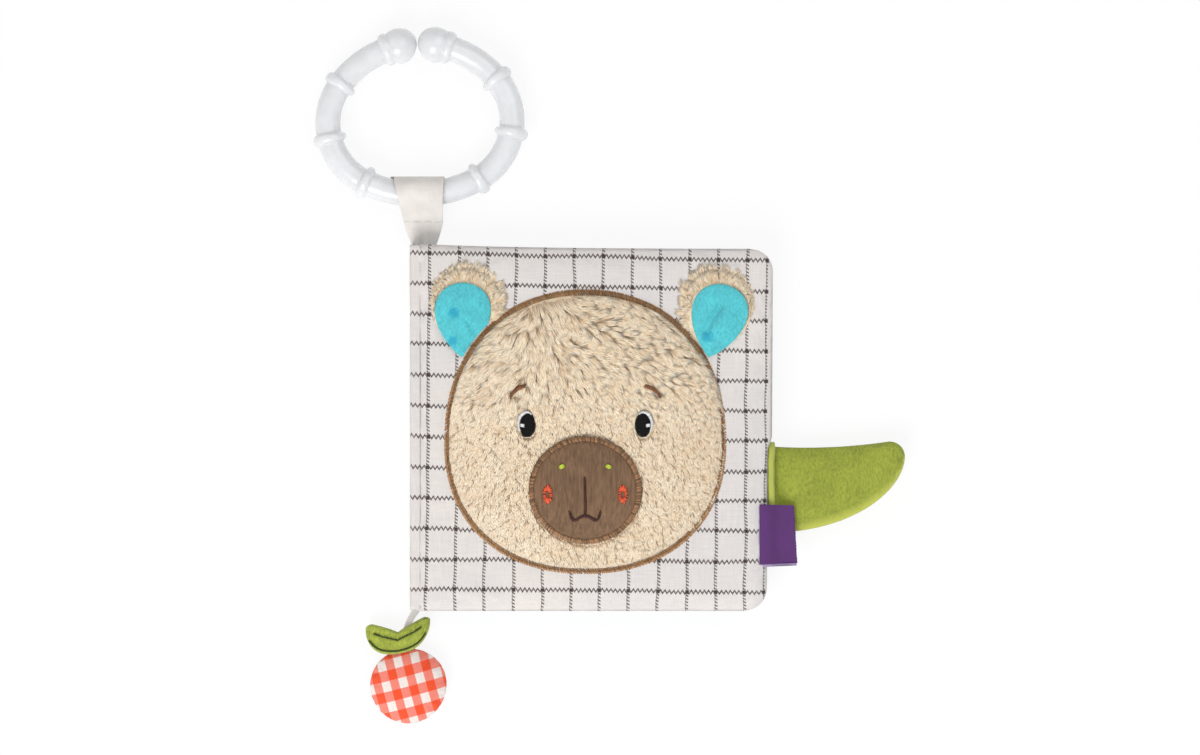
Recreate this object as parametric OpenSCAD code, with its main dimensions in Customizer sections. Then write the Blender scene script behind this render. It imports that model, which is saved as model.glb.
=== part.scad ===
// Baby's cloth book with a plush bear face on its cover, a clip ring, a leaf tab and a fruit pendant.
// Origin: centre of the back cover's underside. X runs from the spine to the fore-edge,
// Y runs up the page, Z points out of the front cover. All sizes in millimetres.

/* [Covers and pages] */
// Width of the closed book, from the spine's outer face to the fore-edge
book_w = 141; // [128:1:160]
// Height of the book along its spine
book_h = 142; // [130:1:160]
// Thickness of one padded cover
cover_t = 4; // [3:0.5:6]
// Thickness of the sewn block of pages
pages_t = 7.4; // [6:0.2:12]
// Number of leaves in the block of pages
leaf_count = 2; // [1:1:4]
// Distance by which the pages stand back from the covers' edges
page_margin = 1.2; // [0.6:0.2:3]
// Radius of the covers' corners at the fore-edge
corner_r = 9; // [5:0.5:14]
// Radius of the covers' corners at the spine
spine_corner_r = 2; // [1:0.5:4]
// How much narrower the covers are at their foot than at their head
fore_edge_slant = 2.4; // [0:0.2:4]
// Thickness of the spine cloth
spine_t = 1.2; // [0.8:0.1:2]
// Clearance between pieces that move against each other
moving_gap = 0.3; // [0.2:0.05:0.5]
// Clearance under a patch that is sewn on a curved face
seat_gap = 0.1; // [0.05:0.05:0.2]

/* [Head] */
// Width of the plush head with its stitched border
head_w = 109.2; // [90:0.2:118]
// Height of the plush head with its stitched border
head_h = 110.4; // [90:0.2:118]
// Place of the head's middle to the left of the cover's middle
head_left = 2.4; // [0:0.2:6]
// Place of the head's middle below the cover's middle
head_down = 1.5; // [0:0.2:6]
// Height of the plush at its edge
head_rim = 2; // [1:0.5:4]
// Rise of the padding from the edge to the middle of the head
head_crown = 8; // [5:0.5:12]
// How square the head's outline is: 2 is an ellipse
head_square = 2.2; // [2:0.05:2.6]
// How much the head narrows towards its top
head_taper = 0.05; // [0:0.01:0.12]
// Width of the satin stitch round the head
head_stitch_w = 1.9; // [1:0.1:3]
// Height of the satin stitch round the head
head_stitch_h = 1.5; // [0.8:0.1:2.5]

/* [Ears] */
// Length of an ear's lining, from its point to its round end
ear_len = 29.6; // [24:0.2:34]
// Width of an ear's lining
ear_w = 21.8; // [18:0.2:26]
// Width of the plush that shows round the lining
ear_fur = 2.4; // [1.5:0.1:4]
// Thickness of the ear's plush back
ear_back_t = 2.6; // [2:0.1:4]
// Thickness of the ear's lining at its middle
ear_front_t = 2; // [1.5:0.1:3]
// Angle up the side of the head at which each ear's point is sewn
ear_seat_angle = 31; // [25:1:40]
// Lean of the left ear from upright
ear_left_lean = -1; // [-10:1:10]
// Lean of the right ear from upright
ear_right_lean = -14; // [-20:1:0]

/* [Face] */
// Distance between the middles of the eyes
eye_spacing = 44.2; // [36:0.2:50]
// Height of the eyes above the head's middle
eye_up = 2.6; // [0:0.2:6]
// Width of an eye's black oval
eye_w = 6.6; // [5:0.2:8]
// Height of an eye's black oval
eye_h = 9.4; // [7:0.2:11]
// Width of the white crescent beside each eye
eye_white_w = 1.5; // [1:0.1:2]
// Thickness of the embroidered details
stitch_t = 0.7; // [0.5:0.1:1]
// Span of each brow's arc
brow_span = 7.2; // [5:0.2:9]
// Height of the brows above the eyes
brow_up = 13.2; // [10:0.2:18]
// Width of a brow's stitches
brow_w = 1.2; // [0.8:0.1:2]

/* [Muzzle] */
// Width of the muzzle with its stitched border
muzzle_w = 43.9; // [36:0.2:48]
// Height of the muzzle with its stitched border
muzzle_h = 42; // [36:0.2:46]
// Distance of the muzzle's middle below the head's middle
muzzle_down = 22.4; // [18:0.2:26]
// Thickness of the muzzle's padding at its middle
muzzle_t = 2.8; // [2:0.1:5]
// Width of the satin stitch round the muzzle
muzzle_stitch_w = 2.3; // [1.5:0.1:3]
// Height of the satin stitch round the muzzle
muzzle_stitch_h = 2; // [1:0.1:3]
// Distance between the nostrils
nostril_spacing = 17.8; // [12:0.2:24]
// Height of the nostrils above the muzzle's middle
nostril_up = 9.2; // [6:0.2:12]
// Length of a nostril's stitches
nostril_len = 2.4; // [1.5:0.1:4]
// Distance between the cheek patches
cheek_spacing = 28.8; // [22:0.2:32]
// Width of a cheek patch
cheek_w = 3.6; // [2.5:0.1:5]
// Height of a cheek patch
cheek_h = 7; // [5:0.2:9]
// Length of the line from the nose to the mouth
mouth_line = 14.4; // [10:0.2:18]
// Width of the smiling mouth
mouth_w = 11.8; // [8:0.2:16]
// Width of the mouth's stitches
mouth_stitch_w = 1.1; // [0.8:0.1:1.6]

/* [Leaf tab and label] */
// Length of the leaf tab beyond the pages
tab_len = 51.8; // [40:0.2:60]
// Height of the leaf tab where it is sewn on
tab_root_h = 33.5; // [24:0.5:40]
// Distance of the leaf tab's upper edge below the book's middle
tab_down = 7.4; // [0:0.2:20]
// Thickness of the leaf tab
tab_t = 5.4; // [3:0.2:6]
// Length of the folded strip at the leaf tab's root
tab_strip_len = 1.8; // [1.2:0.1:3]
// Height of the side label
label_h = 23.3; // [16:0.1:30]
// Length of the side label, from its fold on the cover to its free end
label_len = 14.4; // [10:0.2:20]
// Length of the side label that lies on the cover
label_lap = 3.6; // [2.5:0.1:6]
// Thickness of the side label
label_t = 0.8; // [0.5:0.1:1.2]
// Distance of the side label's upper edge below the book's middle
label_down = 29.6; // [24:0.2:36]

/* [Clip ring] */
// Long diameter of the ring's oval centreline
ring_len = 71.8; // [64:0.2:80]
// Short diameter of the ring's oval centreline
ring_wid = 58.6; // [53:0.2:62]
// Diameter of the ring's bar
ring_bar_d = 9.7; // [7:0.1:11]
// Diameter of the balls that close the ring
ring_ball_d = 13.8; // [12:0.1:16]
// Gap between the two balls
ring_mouth = 0.3; // [0.2:0.1:1]
// Turn of the ring in its own plane, from upright
ring_turn = 2; // [-6:1:6]
// Diameter of the ring's collars
collar_d = 12.8; // [11.5:0.1:13.5]
// Width of a collar
collar_w = 3.9; // [3:0.1:5]
// Turn from the mouth to the collars nearest to it
collar_turn_1 = 18; // [16:1:24]
// Turn from the mouth to the collars at the ring's shoulders
collar_turn_2 = 52; // [44:1:60]
// Turn from the mouth to the collars at the ring's sides
collar_turn_3 = 102; // [90:1:120]
// Turn from the mouth to the collars beside the ribbon
collar_turn_4 = 153; // [140:1:155]

/* [Ribbon loop] */
// Width of the ribbon at the top of the loop
loop_w = 19.9; // [16:0.1:22]
// Width of the ribbon at its line of stitches
loop_stitch_w = 15.1; // [12:0.1:16]
// Width of the gathered ribbon at the book
loop_root_w = 9.3; // [8:0.1:12]
// Thickness of the ribbon
loop_t = 0.8; // [0.6:0.1:1]
// Height of the pleats where the ribbon is gathered
pleat_h = 0.5; // [0.2:0.1:0.8]
// Play of the ring's bar in the loop
loop_play = 0.45; // [0.3:0.05:1]
// Distance from the book's top edge to the middle of the ring's bar
loop_reach = 20; // [18:0.2:26]
// Distance from the book's top edge to the line of stitches
loop_stitch_up = 9.2; // [7:0.2:10]
// Distance of the loop's middle from the spine's outer face
loop_in = 3.6; // [3:0.2:8]

/* [Pendant] */
// Diameter of the stuffed fruit
fruit_d = 29.4; // [24:0.2:34]
// Thickness of the stuffed fruit
fruit_t = 9; // [6:0.2:12]
// Distance of the fruit's middle below the book's lower edge
fruit_down = 29.8; // [26:0.2:34]
// Distance of the fruit's middle outside the spine's outer face
fruit_out = 1; // [-4:0.5:6]
// Span between the two tips of the pendant's leaf
leaf_span = 25.2; // [20:0.2:28]
// Height of the pendant's leaf in its middle, below the notch
leaf_depth = 8.2; // [6:0.2:9]
// Rise of the leaf's two lobes above the notch
leaf_lift = 4.6; // [2:0.2:6]
// Overlap of the leaf on the fruit
leaf_over = 2.1; // [1:0.1:3]
// Distance of the leaf's middle to the left of the fruit's middle
leaf_left = 4.1; // [0:0.1:5]
// Rise of the leaf's right tip over its left one
leaf_tilt = 3.4; // [0:0.2:5]
// Thickness of the pendant's leaf
leaf_t = 2; // [1.4:0.1:3]
// Width of the pendant's ribbon
cord_w = 2.6; // [2:0.1:4]
// Thickness of the pendant's ribbon
cord_t = 0.8; // [0.6:0.1:1.2]
// Width of the leaf's outline stitches
leaf_stitch_w = 0.8; // [0.6:0.1:1.2]

/* [Hidden] */
$fn = 64;

// Levels of the stack, from the table up
pages_z = cover_t + moving_gap;
front_z = pages_z + pages_t + moving_gap;
cover_top = front_z + cover_t;
middle_z = cover_top / 2;

// Edges of the book
spine_x = -book_w / 2;
spine_in = spine_x + spine_t;
leaf_x = spine_in + moving_gap;
fore_x = book_w / 2;
page_x = fore_x - page_margin;
half_h = book_h / 2;

// Middle and half sizes of the head
head_x = -head_left;
head_y = -head_down;
head_a = head_w / 2;
head_b = head_h / 2;

// Seam by which an ear's lining is smaller than its outline
lining_seam = 0.6;

// Middle and half sizes of the muzzle
muzzle_x = head_x;
muzzle_y = head_y - muzzle_down;
muzzle_a = muzzle_w / 2;
muzzle_b = muzzle_h / 2;

// Arcs of the ring's oval: one at the top, one at each side and one at the bottom.
// They run into each other without a kink at the second and the fourth collars.
ring_a = ring_len / 2;
ring_b = ring_wid / 2;
shoulder = (1 - cos(collar_turn_2)) / sin(collar_turn_2);
foot = (1 + cos(collar_turn_4)) / sin(collar_turn_4);
ring_side_r = (2 * ring_b - (shoulder + foot) * ring_a) / (2 - shoulder - foot);
ring_side_x = ring_a - ring_side_r;
ring_top_r = ring_side_r + ring_side_x / sin(collar_turn_2);
ring_bottom_r = ring_side_r + ring_side_x / sin(collar_turn_4);
ring_top_y = ring_b - ring_top_r;
ring_bottom_y = ring_bottom_r - ring_b;
ring_side_y = ring_top_y + (ring_top_r - ring_side_r) * cos(collar_turn_2);
ring_mouth_half = asin((ring_ball_d + ring_mouth) / 2 / ring_top_r);

// Place of the ring and of the loop that holds it
loop_x = spine_x + loop_in;
bar_y = half_h + loop_reach;
ring_z = ring_ball_d / 2;
ring_y = bar_y + ring_b;
bar_sag = pow(loop_w / 2, 2) / (2 * ring_bottom_r);
loop_y = bar_y + bar_sag / 2;
loop_r = ring_bar_d / 2 + bar_sag / 2 + loop_play;
stitch_y = half_h + loop_stitch_up;

// Place of the pendant
fruit_x = spine_x - fruit_out;
fruit_y = -half_h - fruit_down;
fruit_r = fruit_d / 2;

// Power that keeps the sign
function signed_pow(v, p) = sign(v) * pow(abs(v), p);

// Height of padding, from 1 in the middle to 0 at the edge
function crown(t) = pow(max(0, 1 - pow(min(1, t), 2.6)), 0.7);

// Point of an oval at an angle
function oval(cx, cy, a, b, angle) = [cx + a * cos(angle), cy + b * sin(angle)];

// Point turned about a centre
function turned(p, c, angle) = [
    c[0] + (p[0] - c[0]) * cos(angle) - (p[1] - c[1]) * sin(angle),
    c[1] + (p[0] - c[0]) * sin(angle) + (p[1] - c[1]) * cos(angle)
];

// Outline of the head at a share t of its size, brought in by inset
function head_point(t, angle, inset = 0) =
    let (
        v = signed_pow(sin(angle), 2 / head_square) * t,
        u = signed_pow(cos(angle), 2 / head_square) * t * (1 - head_taper * v)
    )
    [head_x + (head_a - inset) * u, head_y + (head_b - inset) * v];

// Share of the head's size at which a point lies
function head_share(x, y, inset = 0) =
    let (
        v = (y - head_y) / (head_b - inset),
        u = (x - head_x) / (head_a - inset) / (1 - head_taper * v)
    )
    pow(pow(abs(u), head_square) + pow(abs(v), head_square), 1 / head_square);

// Surface of the plush head
head_surface = function (x, y)
    cover_top + head_rim + head_crown * crown(head_share(x, y, head_stitch_w + seat_gap));

// Share of the muzzle's size at which a point lies
function muzzle_share(x, y) =
    norm([(x - muzzle_x) / (muzzle_a - muzzle_stitch_w), (y - muzzle_y) / (muzzle_b - muzzle_stitch_w)]);

// Surface of the muzzle
muzzle_surface = function (x, y)
    head_surface(x, y) + seat_gap + 1 + (muzzle_t - 1) * crown(muzzle_share(x, y));

// Upper side of the pendant's fruit at a distance from its middle
function fruit_half(r) = fruit_t / 2 * pow(max(0, 1 - pow(r / fruit_r, 2)), 0.6);

// Plane in which the pendant's leaf lies, from the fruit down to the ribbon
leaf_y = fruit_y + fruit_r - leaf_over;
leaf_slope = 0.2;
leaf_surface = function (x, y)
    fruit_t / 2 + fruit_half(fruit_r - leaf_over) + 2 * seat_gap - leaf_slope * (y - leaf_y);

// Solid through rings that all have the same number of points.
// The rings run counter-clockwise seen from the last one; a closed row has no end faces.
// A ribbon's ring runs along one side and back along the other, and its ends are closed from side to side.
module loft(rings, closed = false, ribbon = false) {
    n = len(rings[0]);
    m = len(rings);
    last = (m - 1) * n;
    fan = !closed && !ribbon;
    points = [for (ring = rings, p = ring) p];
    ends = fan ? [middle(rings[0]), middle(rings[m - 1])] : [];
    walls = [
        for (i = [0 : closed ? m - 1 : m - 2], j = [0 : n - 1])
            let (
                a = i * n + j,
                b = i * n + (j + 1) % n,
                c = (i + 1) % m * n + (j + 1) % n,
                d = (i + 1) % m * n + j
            )
            each [[a, d, c], [a, c, b]]
    ];
    fans = fan ? [
        for (j = [0 : n - 1])
            each [[m * n, j, (j + 1) % n], [m * n + 1, last + (j + 1) % n, last + j]]
    ] : [];
    strips = ribbon ? [
        for (j = [0 : n / 2 - 2])
            each [
                [j, j + 1, n - 2 - j], [j, n - 2 - j, n - 1 - j],
                [last + n - 2 - j, last + j + 1, last + j], [last + n - 1 - j, last + n - 2 - j, last + j]
            ]
    ] : [];
    polyhedron(concat(points, ends), concat(walls, fans, strips), convexity = 6);
}

// Mean point of a ring
function middle(ring) = ring_sum(ring, len(ring) - 1) / len(ring);
function ring_sum(ring, i) = i == 0 ? ring[0] : ring[i] + ring_sum(ring, i - 1);

// Ring of points at one height
function level(outline, z) = [for (p = outline) [p[0], p[1], z]];

// Ring of points on a ground, raised by lift
function draped(outline, ground, lift) = [for (p = outline) [p[0], p[1], ground(p[0], p[1]) + lift]];

// Corner of a rounded outline, a quarter turn in six steps
function corner(cx, cy, r, from) = [for (k = [0 : 6]) oval(cx, cy, r, r, from + 15 * k)];

// Rounded rectangle with its own radius at the spine and at the fore-edge, brought in by inset
smallest_r = 0.4;
function panel(x0, x1, h, r_spine, r_fore, slant, inset) =
    let (
        left = x0 + inset,
        right = x1 - inset,
        top = h / 2 - inset,
        rs = max(smallest_r, r_spine - inset),
        rf = max(smallest_r, r_fore - inset)
    )
    [
        for (p = concat(
            corner(right - rf, top - rf, rf, 0), corner(left + rs, top - rs, rs, 90),
            corner(left + rs, rs - top, rs, 180), corner(right - rf, rf - top, rf, 270)
        ))
            [p[0] - slant * (1 - p[1] / (h / 2)) / 2 * (p[0] - x0) / (x1 - x0), p[1]]
    ];

// Padded slab with rounded edges; shape is a function of the inset.
// Each step holds the shares of the edge's height and of its depth that are reached there.
module padded_slab(shape, z, t) {
    soft = min(t * 0.42, 2);
    edge_h = soft * 0.9;
    edge_in = soft * 0.8;
    steps = [[0, 1], [0.3, 0.35], [1, 0]];
    loft([
        for (step = steps) level(shape(edge_in * step[1]), z + edge_h * step[0]),
        for (k = [2 : -1 : 0]) level(shape(edge_in * steps[k][1]), z + t - edge_h * steps[k][0])
    ]);
}

// Oval patch that follows a surface; rise gives its thickness from the middle to the edge
module patch(cx, cy, a, b, turn, ground, rise, n = 20) {
    outline = function (t) [
        for (k = [0 : n - 1]) turned(oval(cx, cy, a * t, b * t, 360 * k / n), [cx, cy], turn)
    ];
    loft([
        for (t = [0.35, 0.7, 1]) draped(outline(t), ground, seat_gap),
        for (t = [0.98, 0.8, 0.4]) draped(outline(t), ground, seat_gap + rise(t))
    ]);
}

// Row of stitches along a path on a surface; half_w gives its half width at each point
module stitch_row(path, half_w, ground, t, closed = false) {
    m = len(path);
    top_share = 0.6;
    loft([
        for (i = [0 : m - 1])
            let (
                before = path[closed ? (i + m - 1) % m : max(0, i - 1)],
                after = path[closed ? (i + 1) % m : min(m - 1, i + 1)],
                along = (after - before) / norm(after - before),
                side = [-along[1], along[0]] * half_w(i / (m - 1))
            )
            concat(
                draped([path[i] + side], ground, seat_gap),
                draped([path[i] + side * top_share, path[i] - side * top_share], ground, seat_gap + t),
                draped([path[i] - side], ground, seat_gap)
            )
    ], closed);
}

// One padded cover, from its edge at the spine to the fore-edge
module cover(x0, z) {
    shape = function (inset) panel(x0, fore_x, book_h, spine_corner_r, corner_r, fore_edge_slant, inset);
    color("whitesmoke")
        padded_slab(shape, z, cover_t);
}

module back_cover() {
    cover(spine_in, 0);
}

// One half of the spine cloth, split at the block's middle
module spine_half(z0, z1) {
    color("gainsboro")
        translate([spine_x, -half_h + spine_corner_r, z0])
            cube([spine_t, book_h - 2 * spine_corner_r, z1 - z0]);
}

module spine_lower() {
    spine_half(moving_gap, middle_z - moving_gap / 2);
}

module spine_upper() {
    spine_half(middle_z + moving_gap / 2, cover_top - moving_gap);
}

// The leaves are sewn into one block; grooves round its edges part them
module pages() {
    leaf_t = pages_t / leaf_count;
    groove_depth = 1.2;
    shape = function (inset) panel(
        leaf_x, page_x, book_h - 2 * page_margin, spine_corner_r, corner_r - page_margin,
        fore_edge_slant / 2, inset
    );
    color("lightblue")
        loft([
            for (leaf = [0 : leaf_count - 1], step = [[0.06, 1], [0.3, 0], [0.7, 0], [0.94, 1]])
                level(shape(step[1] * groove_depth), pages_z + (leaf + step[0]) * leaf_t)
        ]);
}

module front_cover() {
    cover(leaf_x, front_z);
}

module head_pad() {
    inset = head_stitch_w + seat_gap;
    outline = function (t) [for (k = [0 : 55]) head_point(t, 360 * k / 56, inset)];
    color("wheat")
        loft([
            level(outline(1), cover_top),
            for (t = [1, 0.985, 0.94, 0.86, 0.72, 0.52, 0.26])
                level(outline(t), cover_top + head_rim + head_crown * crown(t))
        ]);
}

module head_border() {
    path = [for (k = [0 : 71]) head_point(1, 360 * k / 72, head_stitch_w / 2)];
    ground = function (x, y) cover_top - seat_gap;
    color("peru")
        stitch_row(path, function (s) head_stitch_w / 2, ground, head_stitch_h, closed = true);
}

// Half width of a teardrop at each turn, before it is scaled; its largest value is teardrop_peak
teardrop_peak = 0.8215;
function teardrop_half(t) = sin(t) * pow(sin(t / 2), 0.7);

// Teardrop outline with its point below and its round end above
function teardrop(tip, length, width, grow, lean) = [
    for (k = [0 : 27])
        let (
            t = 360 * k / 28,
            x = (width / 2 + grow) * teardrop_half(t) / teardrop_peak,
            y = (length + grow) / 2 * (1 - cos(t))
        )
        turned([tip[0] + x, tip[1] + y], tip, lean)
];

// Outline pushed out of the head, so that the ear is tucked against the head's border
function outside_head(outline) =
    let (free = 1 + 2 * seat_gap / head_a)
    [
        for (p = outline)
            let (share = head_share(p[0], p[1]))
            share < free
                ? [head_x, head_y] + (p - [head_x, head_y]) * free / share
                : p
    ];

// Flat soft piece with a rounded edge; its outline shrinks towards its own middle
module soft_patch(outline, z, t) {
    c = middle(outline);
    scaled = function (share) [for (p = outline) c + (p - c) * share];
    loft([
        level(scaled(0.97), z),
        level(outline, z + t * 0.35),
        level(scaled(0.97), z + t * 0.75),
        level(scaled(0.88), z + t),
        level(scaled(0.45), z + t)
    ]);
}

// Point at which an ear is sewn to the head, just outside its outline
ear_seat_share = 1.01;
function ear_tip(side) =
    let (angle = side > 0 ? ear_seat_angle : 180 - ear_seat_angle)
    head_point(ear_seat_share, angle);

module ear_back(side, lean) {
    shift = ear_fur * 0.4;
    tip = ear_tip(side) + [-side * shift, 0];
    outline = teardrop(tip, ear_len + ear_fur, ear_w, ear_fur, lean);
    color("wheat")
        soft_patch(outside_head(outline), cover_top, ear_back_t);
}

module ear_lining(side, lean) {
    outline = outside_head(teardrop(ear_tip(side), ear_len, ear_w, -lining_seam, lean));
    c = middle(outline);
    scaled = function (share) [for (p = outline) c + (p - c) * share];
    z = cover_top + ear_back_t;
    color("mediumturquoise")
        loft([
            level(scaled(0.9), z),
            for (t = [0.92, 0.8, 0.6, 0.3]) level(scaled(t * 0.98), z + ear_front_t * (0.4 + 0.6 * crown(t)))
        ]);
}

module ear_left_back() {
    ear_back(-1, ear_left_lean);
}

module ear_left_lining() {
    ear_lining(-1, ear_left_lean);
}

module ear_right_back() {
    ear_back(1, ear_right_lean);
}

module ear_right_lining() {
    ear_lining(1, ear_right_lean);
}

module muzzle() {
    a = muzzle_a - muzzle_stitch_w;
    b = muzzle_b - muzzle_stitch_w;
    outline = function (t) [for (k = [0 : 39]) oval(muzzle_x, muzzle_y, a * t, b * t, 360 * k / 40)];
    color("rosybrown")
        loft([
            for (t = [0.25, 0.5, 0.75, 1]) draped(outline(t), head_surface, seat_gap),
            for (t = [0.995, 0.94, 0.8, 0.55, 0.25]) draped(outline(t), muzzle_surface, 0)
        ]);
}

module muzzle_border() {
    a = muzzle_a - muzzle_stitch_w / 2 + seat_gap / 2;
    b = muzzle_b - muzzle_stitch_w / 2 + seat_gap / 2;
    path = [for (k = [0 : 47]) oval(muzzle_x, muzzle_y, a, b, 360 * k / 48)];
    half_w = function (s) (muzzle_stitch_w - seat_gap) / 2;
    color("sienna")
        stitch_row(path, half_w, head_surface, muzzle_stitch_h, closed = true);
}

// Middle of an eye: side is -1 for the left one and 1 for the right one
function eye_x(side) = head_x + side * eye_spacing / 2;
eye_y = head_y + eye_up;

module eye(side) {
    turn = side * 4;
    color("black")
        patch(eye_x(side), eye_y, eye_w / 2, eye_h / 2, turn, head_surface, function (t) stitch_t);
}

// Crescent of white stitches outside the eye, thickest at its upper middle
module eye_white(side) {
    gap = eye_white_w / 2 + seat_gap;
    path = [
        for (k = [0 : 10])
            let (
                angle = 75 + 13 * k,
                p = oval(eye_x(-1), eye_y, eye_w / 2 + gap, eye_h / 2 + gap, angle)
            )
            [side > 0 ? 2 * head_x - p[0] : p[0], p[1]]
    ];
    color("white")
        stitch_row(path, function (s) eye_white_w * (0.15 + 0.33 * sin(180 * s)), head_surface, stitch_t);
}

module brow(side) {
    out = 4;
    turn = -side * 36;
    rise = brow_span * 0.22;
    x = eye_x(side) + side * out;
    y = eye_y + brow_up;
    path = [
        for (k = [0 : 8])
            let (s = k / 8 * 2 - 1)
            turned([x + s * brow_span / 2, y + rise * (1 - s * s)], [x, y], turn)
    ];
    color("sienna")
        stitch_row(path, function (s) brow_w / 2 * (0.35 + 0.65 * sin(180 * s)), head_surface, stitch_t);
}

module nostril(side) {
    turn = side * 30;
    color("yellowgreen")
        patch(
            muzzle_x + side * nostril_spacing / 2, muzzle_y + nostril_up, nostril_len / 2, nostril_len / 3,
            turn, muzzle_surface, function (t) stitch_t, n = 14
        );
}

module cheek(side) {
    down = 1.4;
    turn = side * 4;
    color("tomato")
        patch(
            muzzle_x + side * cheek_spacing / 2, muzzle_y - down, cheek_w / 2, cheek_h / 2,
            turn, muzzle_surface, function (t) stitch_t, n = 16
        );
}

module eye_left() {
    eye(-1);
}

module eye_right() {
    eye(1);
}

module eye_left_white() {
    eye_white(-1);
}

module eye_right_white() {
    eye_white(1);
}

module brow_left() {
    brow(-1);
}

module brow_right() {
    brow(1);
}

module nostril_left() {
    nostril(-1);
}

module nostril_right() {
    nostril(1);
}

module cheek_left() {
    cheek(-1);
}

module cheek_right() {
    cheek(1);
}

// Line down from the nose, and the smile: two small dips that meet below it
module mouth_stitch() {
    line_top = 4.6;
    dip = 1.5;
    corner_lift = 1.5;
    overlap = 0.3;
    smile_y = muzzle_y + line_top - mouth_line;
    smile = [
        for (k = [0 : 16])
            let (s = k / 8 - 1)
            [muzzle_x + s * mouth_w / 2, smile_y - dip * sin(180 * abs(s)) + corner_lift * pow(abs(s), 4)]
    ];
    line = [for (k = [0 : 6]) [muzzle_x, smile_y + overlap + mouth_line * k / 6]];
    color("maroon")
        union() {
            stitch_row(smile, function (s) mouth_stitch_w / 2, muzzle_surface, stitch_t);
            stitch_row(line, function (s) mouth_stitch_w / 2, muzzle_surface, stitch_t);
        }
}

// Strip of folded ribbon: it lies on the cover, bends over its edge and runs level beyond it
module side_label() {
    slant = fore_edge_slant * (1 + (label_down + label_h / 2) / half_h) / 2;
    edge = fore_x - slant;
    start = edge - label_lap;
    drop = cover_t * 0.55;
    bend = 3;
    sag = 0.4;
    run = [
        [start, cover_top], [edge - bend * 0.2, cover_top], [edge + bend / 3, cover_top - drop * 0.23],
        [edge + bend, cover_top - drop], [start + label_len, cover_top - drop - sag]
    ];
    over = [for (k = [len(run) - 1 : -1 : 0]) [run[k][0], run[k][1] + label_t]];
    color("indigo")
        translate([0, -label_down, 0])
            rotate([90, 0, 0])
                linear_extrude(label_h)
                    polygon(concat(run, over));
}

// Leaf-shaped tab: upper edge slightly hollow, lower edge full, tip round
tip_share = 0.88;
tip_level = -4;
top_fall = 3.2;
top_rise = 6.2;
function hollow(s) = -top_fall * s + top_rise * s * s;
function tab_top(s) =
    s < tip_share
        ? hollow(s)
        : tip_level
            + (hollow(tip_share) - tip_level) * sqrt(max(0, 1 - pow((s - tip_share) / (1 - tip_share), 2)));
function tab_bottom(s) = tip_level - (tab_root_h + tip_level) * pow(max(0, 1 - s * s), 0.55);

// Section of the tab across its length, a flattened oval
function tab_section(x, top, bottom, t) = [
    for (k = [0 : 15])
        let (angle = 360 * k / 16)
        [
            x,
            (top + bottom) / 2 + (top - bottom) / 2 * signed_pow(cos(angle), 0.6),
            middle_z + t / 2 * signed_pow(sin(angle), 0.6)
        ]
];

module tab_leaf() {
    root = page_x - fore_edge_slant * 0.3;
    body = root + tab_strip_len;
    strip_t = 2.4;
    strip_over = 2;
    strip_under = 1;
    bend = 0.6;
    seam_t = 3;
    color("yellowgreen")
        translate([0, -tab_down, 0])
            loft([
                tab_section(root, strip_over, -tab_root_h - strip_under, strip_t),
                tab_section(body - bend, strip_over, -tab_root_h - strip_under, strip_t),
                tab_section(body, 0, -tab_root_h, seam_t),
                for (s = [0.04, 0.12, 0.25, 0.4, 0.55, 0.68, 0.78, 0.86, 0.92, 0.96, 0.985, 0.997])
                    tab_section(
                        body + tab_len * s, tab_top(s), tab_bottom(s),
                        tab_t * min(1, 0.7 + 3 * s) * sqrt(1 - pow(s, 8))
                    )
            ]);
}

// Centre and radius of the oval's arc at a turn from the mouth; side is 1 to the right and -1 to the left
function ring_arc(turn, side) =
    turn < collar_turn_2
        ? [0, ring_top_y, ring_top_r]
        : turn < collar_turn_4
            ? [side * ring_side_x, ring_side_y, ring_side_r]
            : [0, ring_bottom_y, ring_bottom_r];

// Point of the ring's centreline at a turn from the mouth
function ring_point(turn, side) =
    let (arc = ring_arc(turn, side))
    [arc[0] + side * arc[2] * sin(turn), arc[1] + arc[2] * cos(turn), 0];

// Bar of the ring on one side, between two turns from the mouth; its ends stop inside collars
module ring_bar(from, to, side) {
    arc = ring_arc((from + to) / 2, side);
    translate([arc[0], arc[1], 0])
        rotate([0, 0, side > 0 ? 90 - to : 90 + from])
            rotate_extrude(angle = to - from)
                translate([arc[2], 0])
                    circle(d = ring_bar_d);
}

// Collar round the bar, with bevelled shoulders
module collar() {
    r = collar_d / 2;
    soft = (collar_d - ring_bar_d) / 4;
    rotate([90, 0, 0])
        rotate_extrude()
            polygon([
                [0, -collar_w / 2], [r - soft, -collar_w / 2], [r, -collar_w / 2 + soft],
                [r, collar_w / 2 - soft], [r - soft, collar_w / 2], [0, collar_w / 2]
            ]);
}

module clip_ring() {
    hidden = 0.5;
    color("white")
        translate([loop_x, ring_y, ring_z])
            rotate([0, 0, ring_turn])
                union() {
                    for (side = [-1, 1]) {
                        ring_bar(ring_mouth_half, collar_turn_2 - hidden, side);
                        ring_bar(collar_turn_2 + hidden, collar_turn_4 - hidden, side);
                        translate(ring_point(ring_mouth_half, side))
                            rotate([90, 0, 90 - side * ring_mouth_half])
                                sphere(d = ring_ball_d);
                        for (turn = [collar_turn_1, collar_turn_2, collar_turn_3, collar_turn_4])
                            translate(ring_point(turn, side))
                                rotate([0, 0, 90 - side * turn])
                                    collar();
                    }
                    translate([0, ring_bottom_y, 0])
                        rotate([0, 0, collar_turn_4 + hidden + 90])
                            rotate_extrude(angle = 2 * (180 - collar_turn_4 - hidden))
                                translate([ring_bottom_r, 0])
                                    circle(d = ring_bar_d);
                }
}

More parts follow.
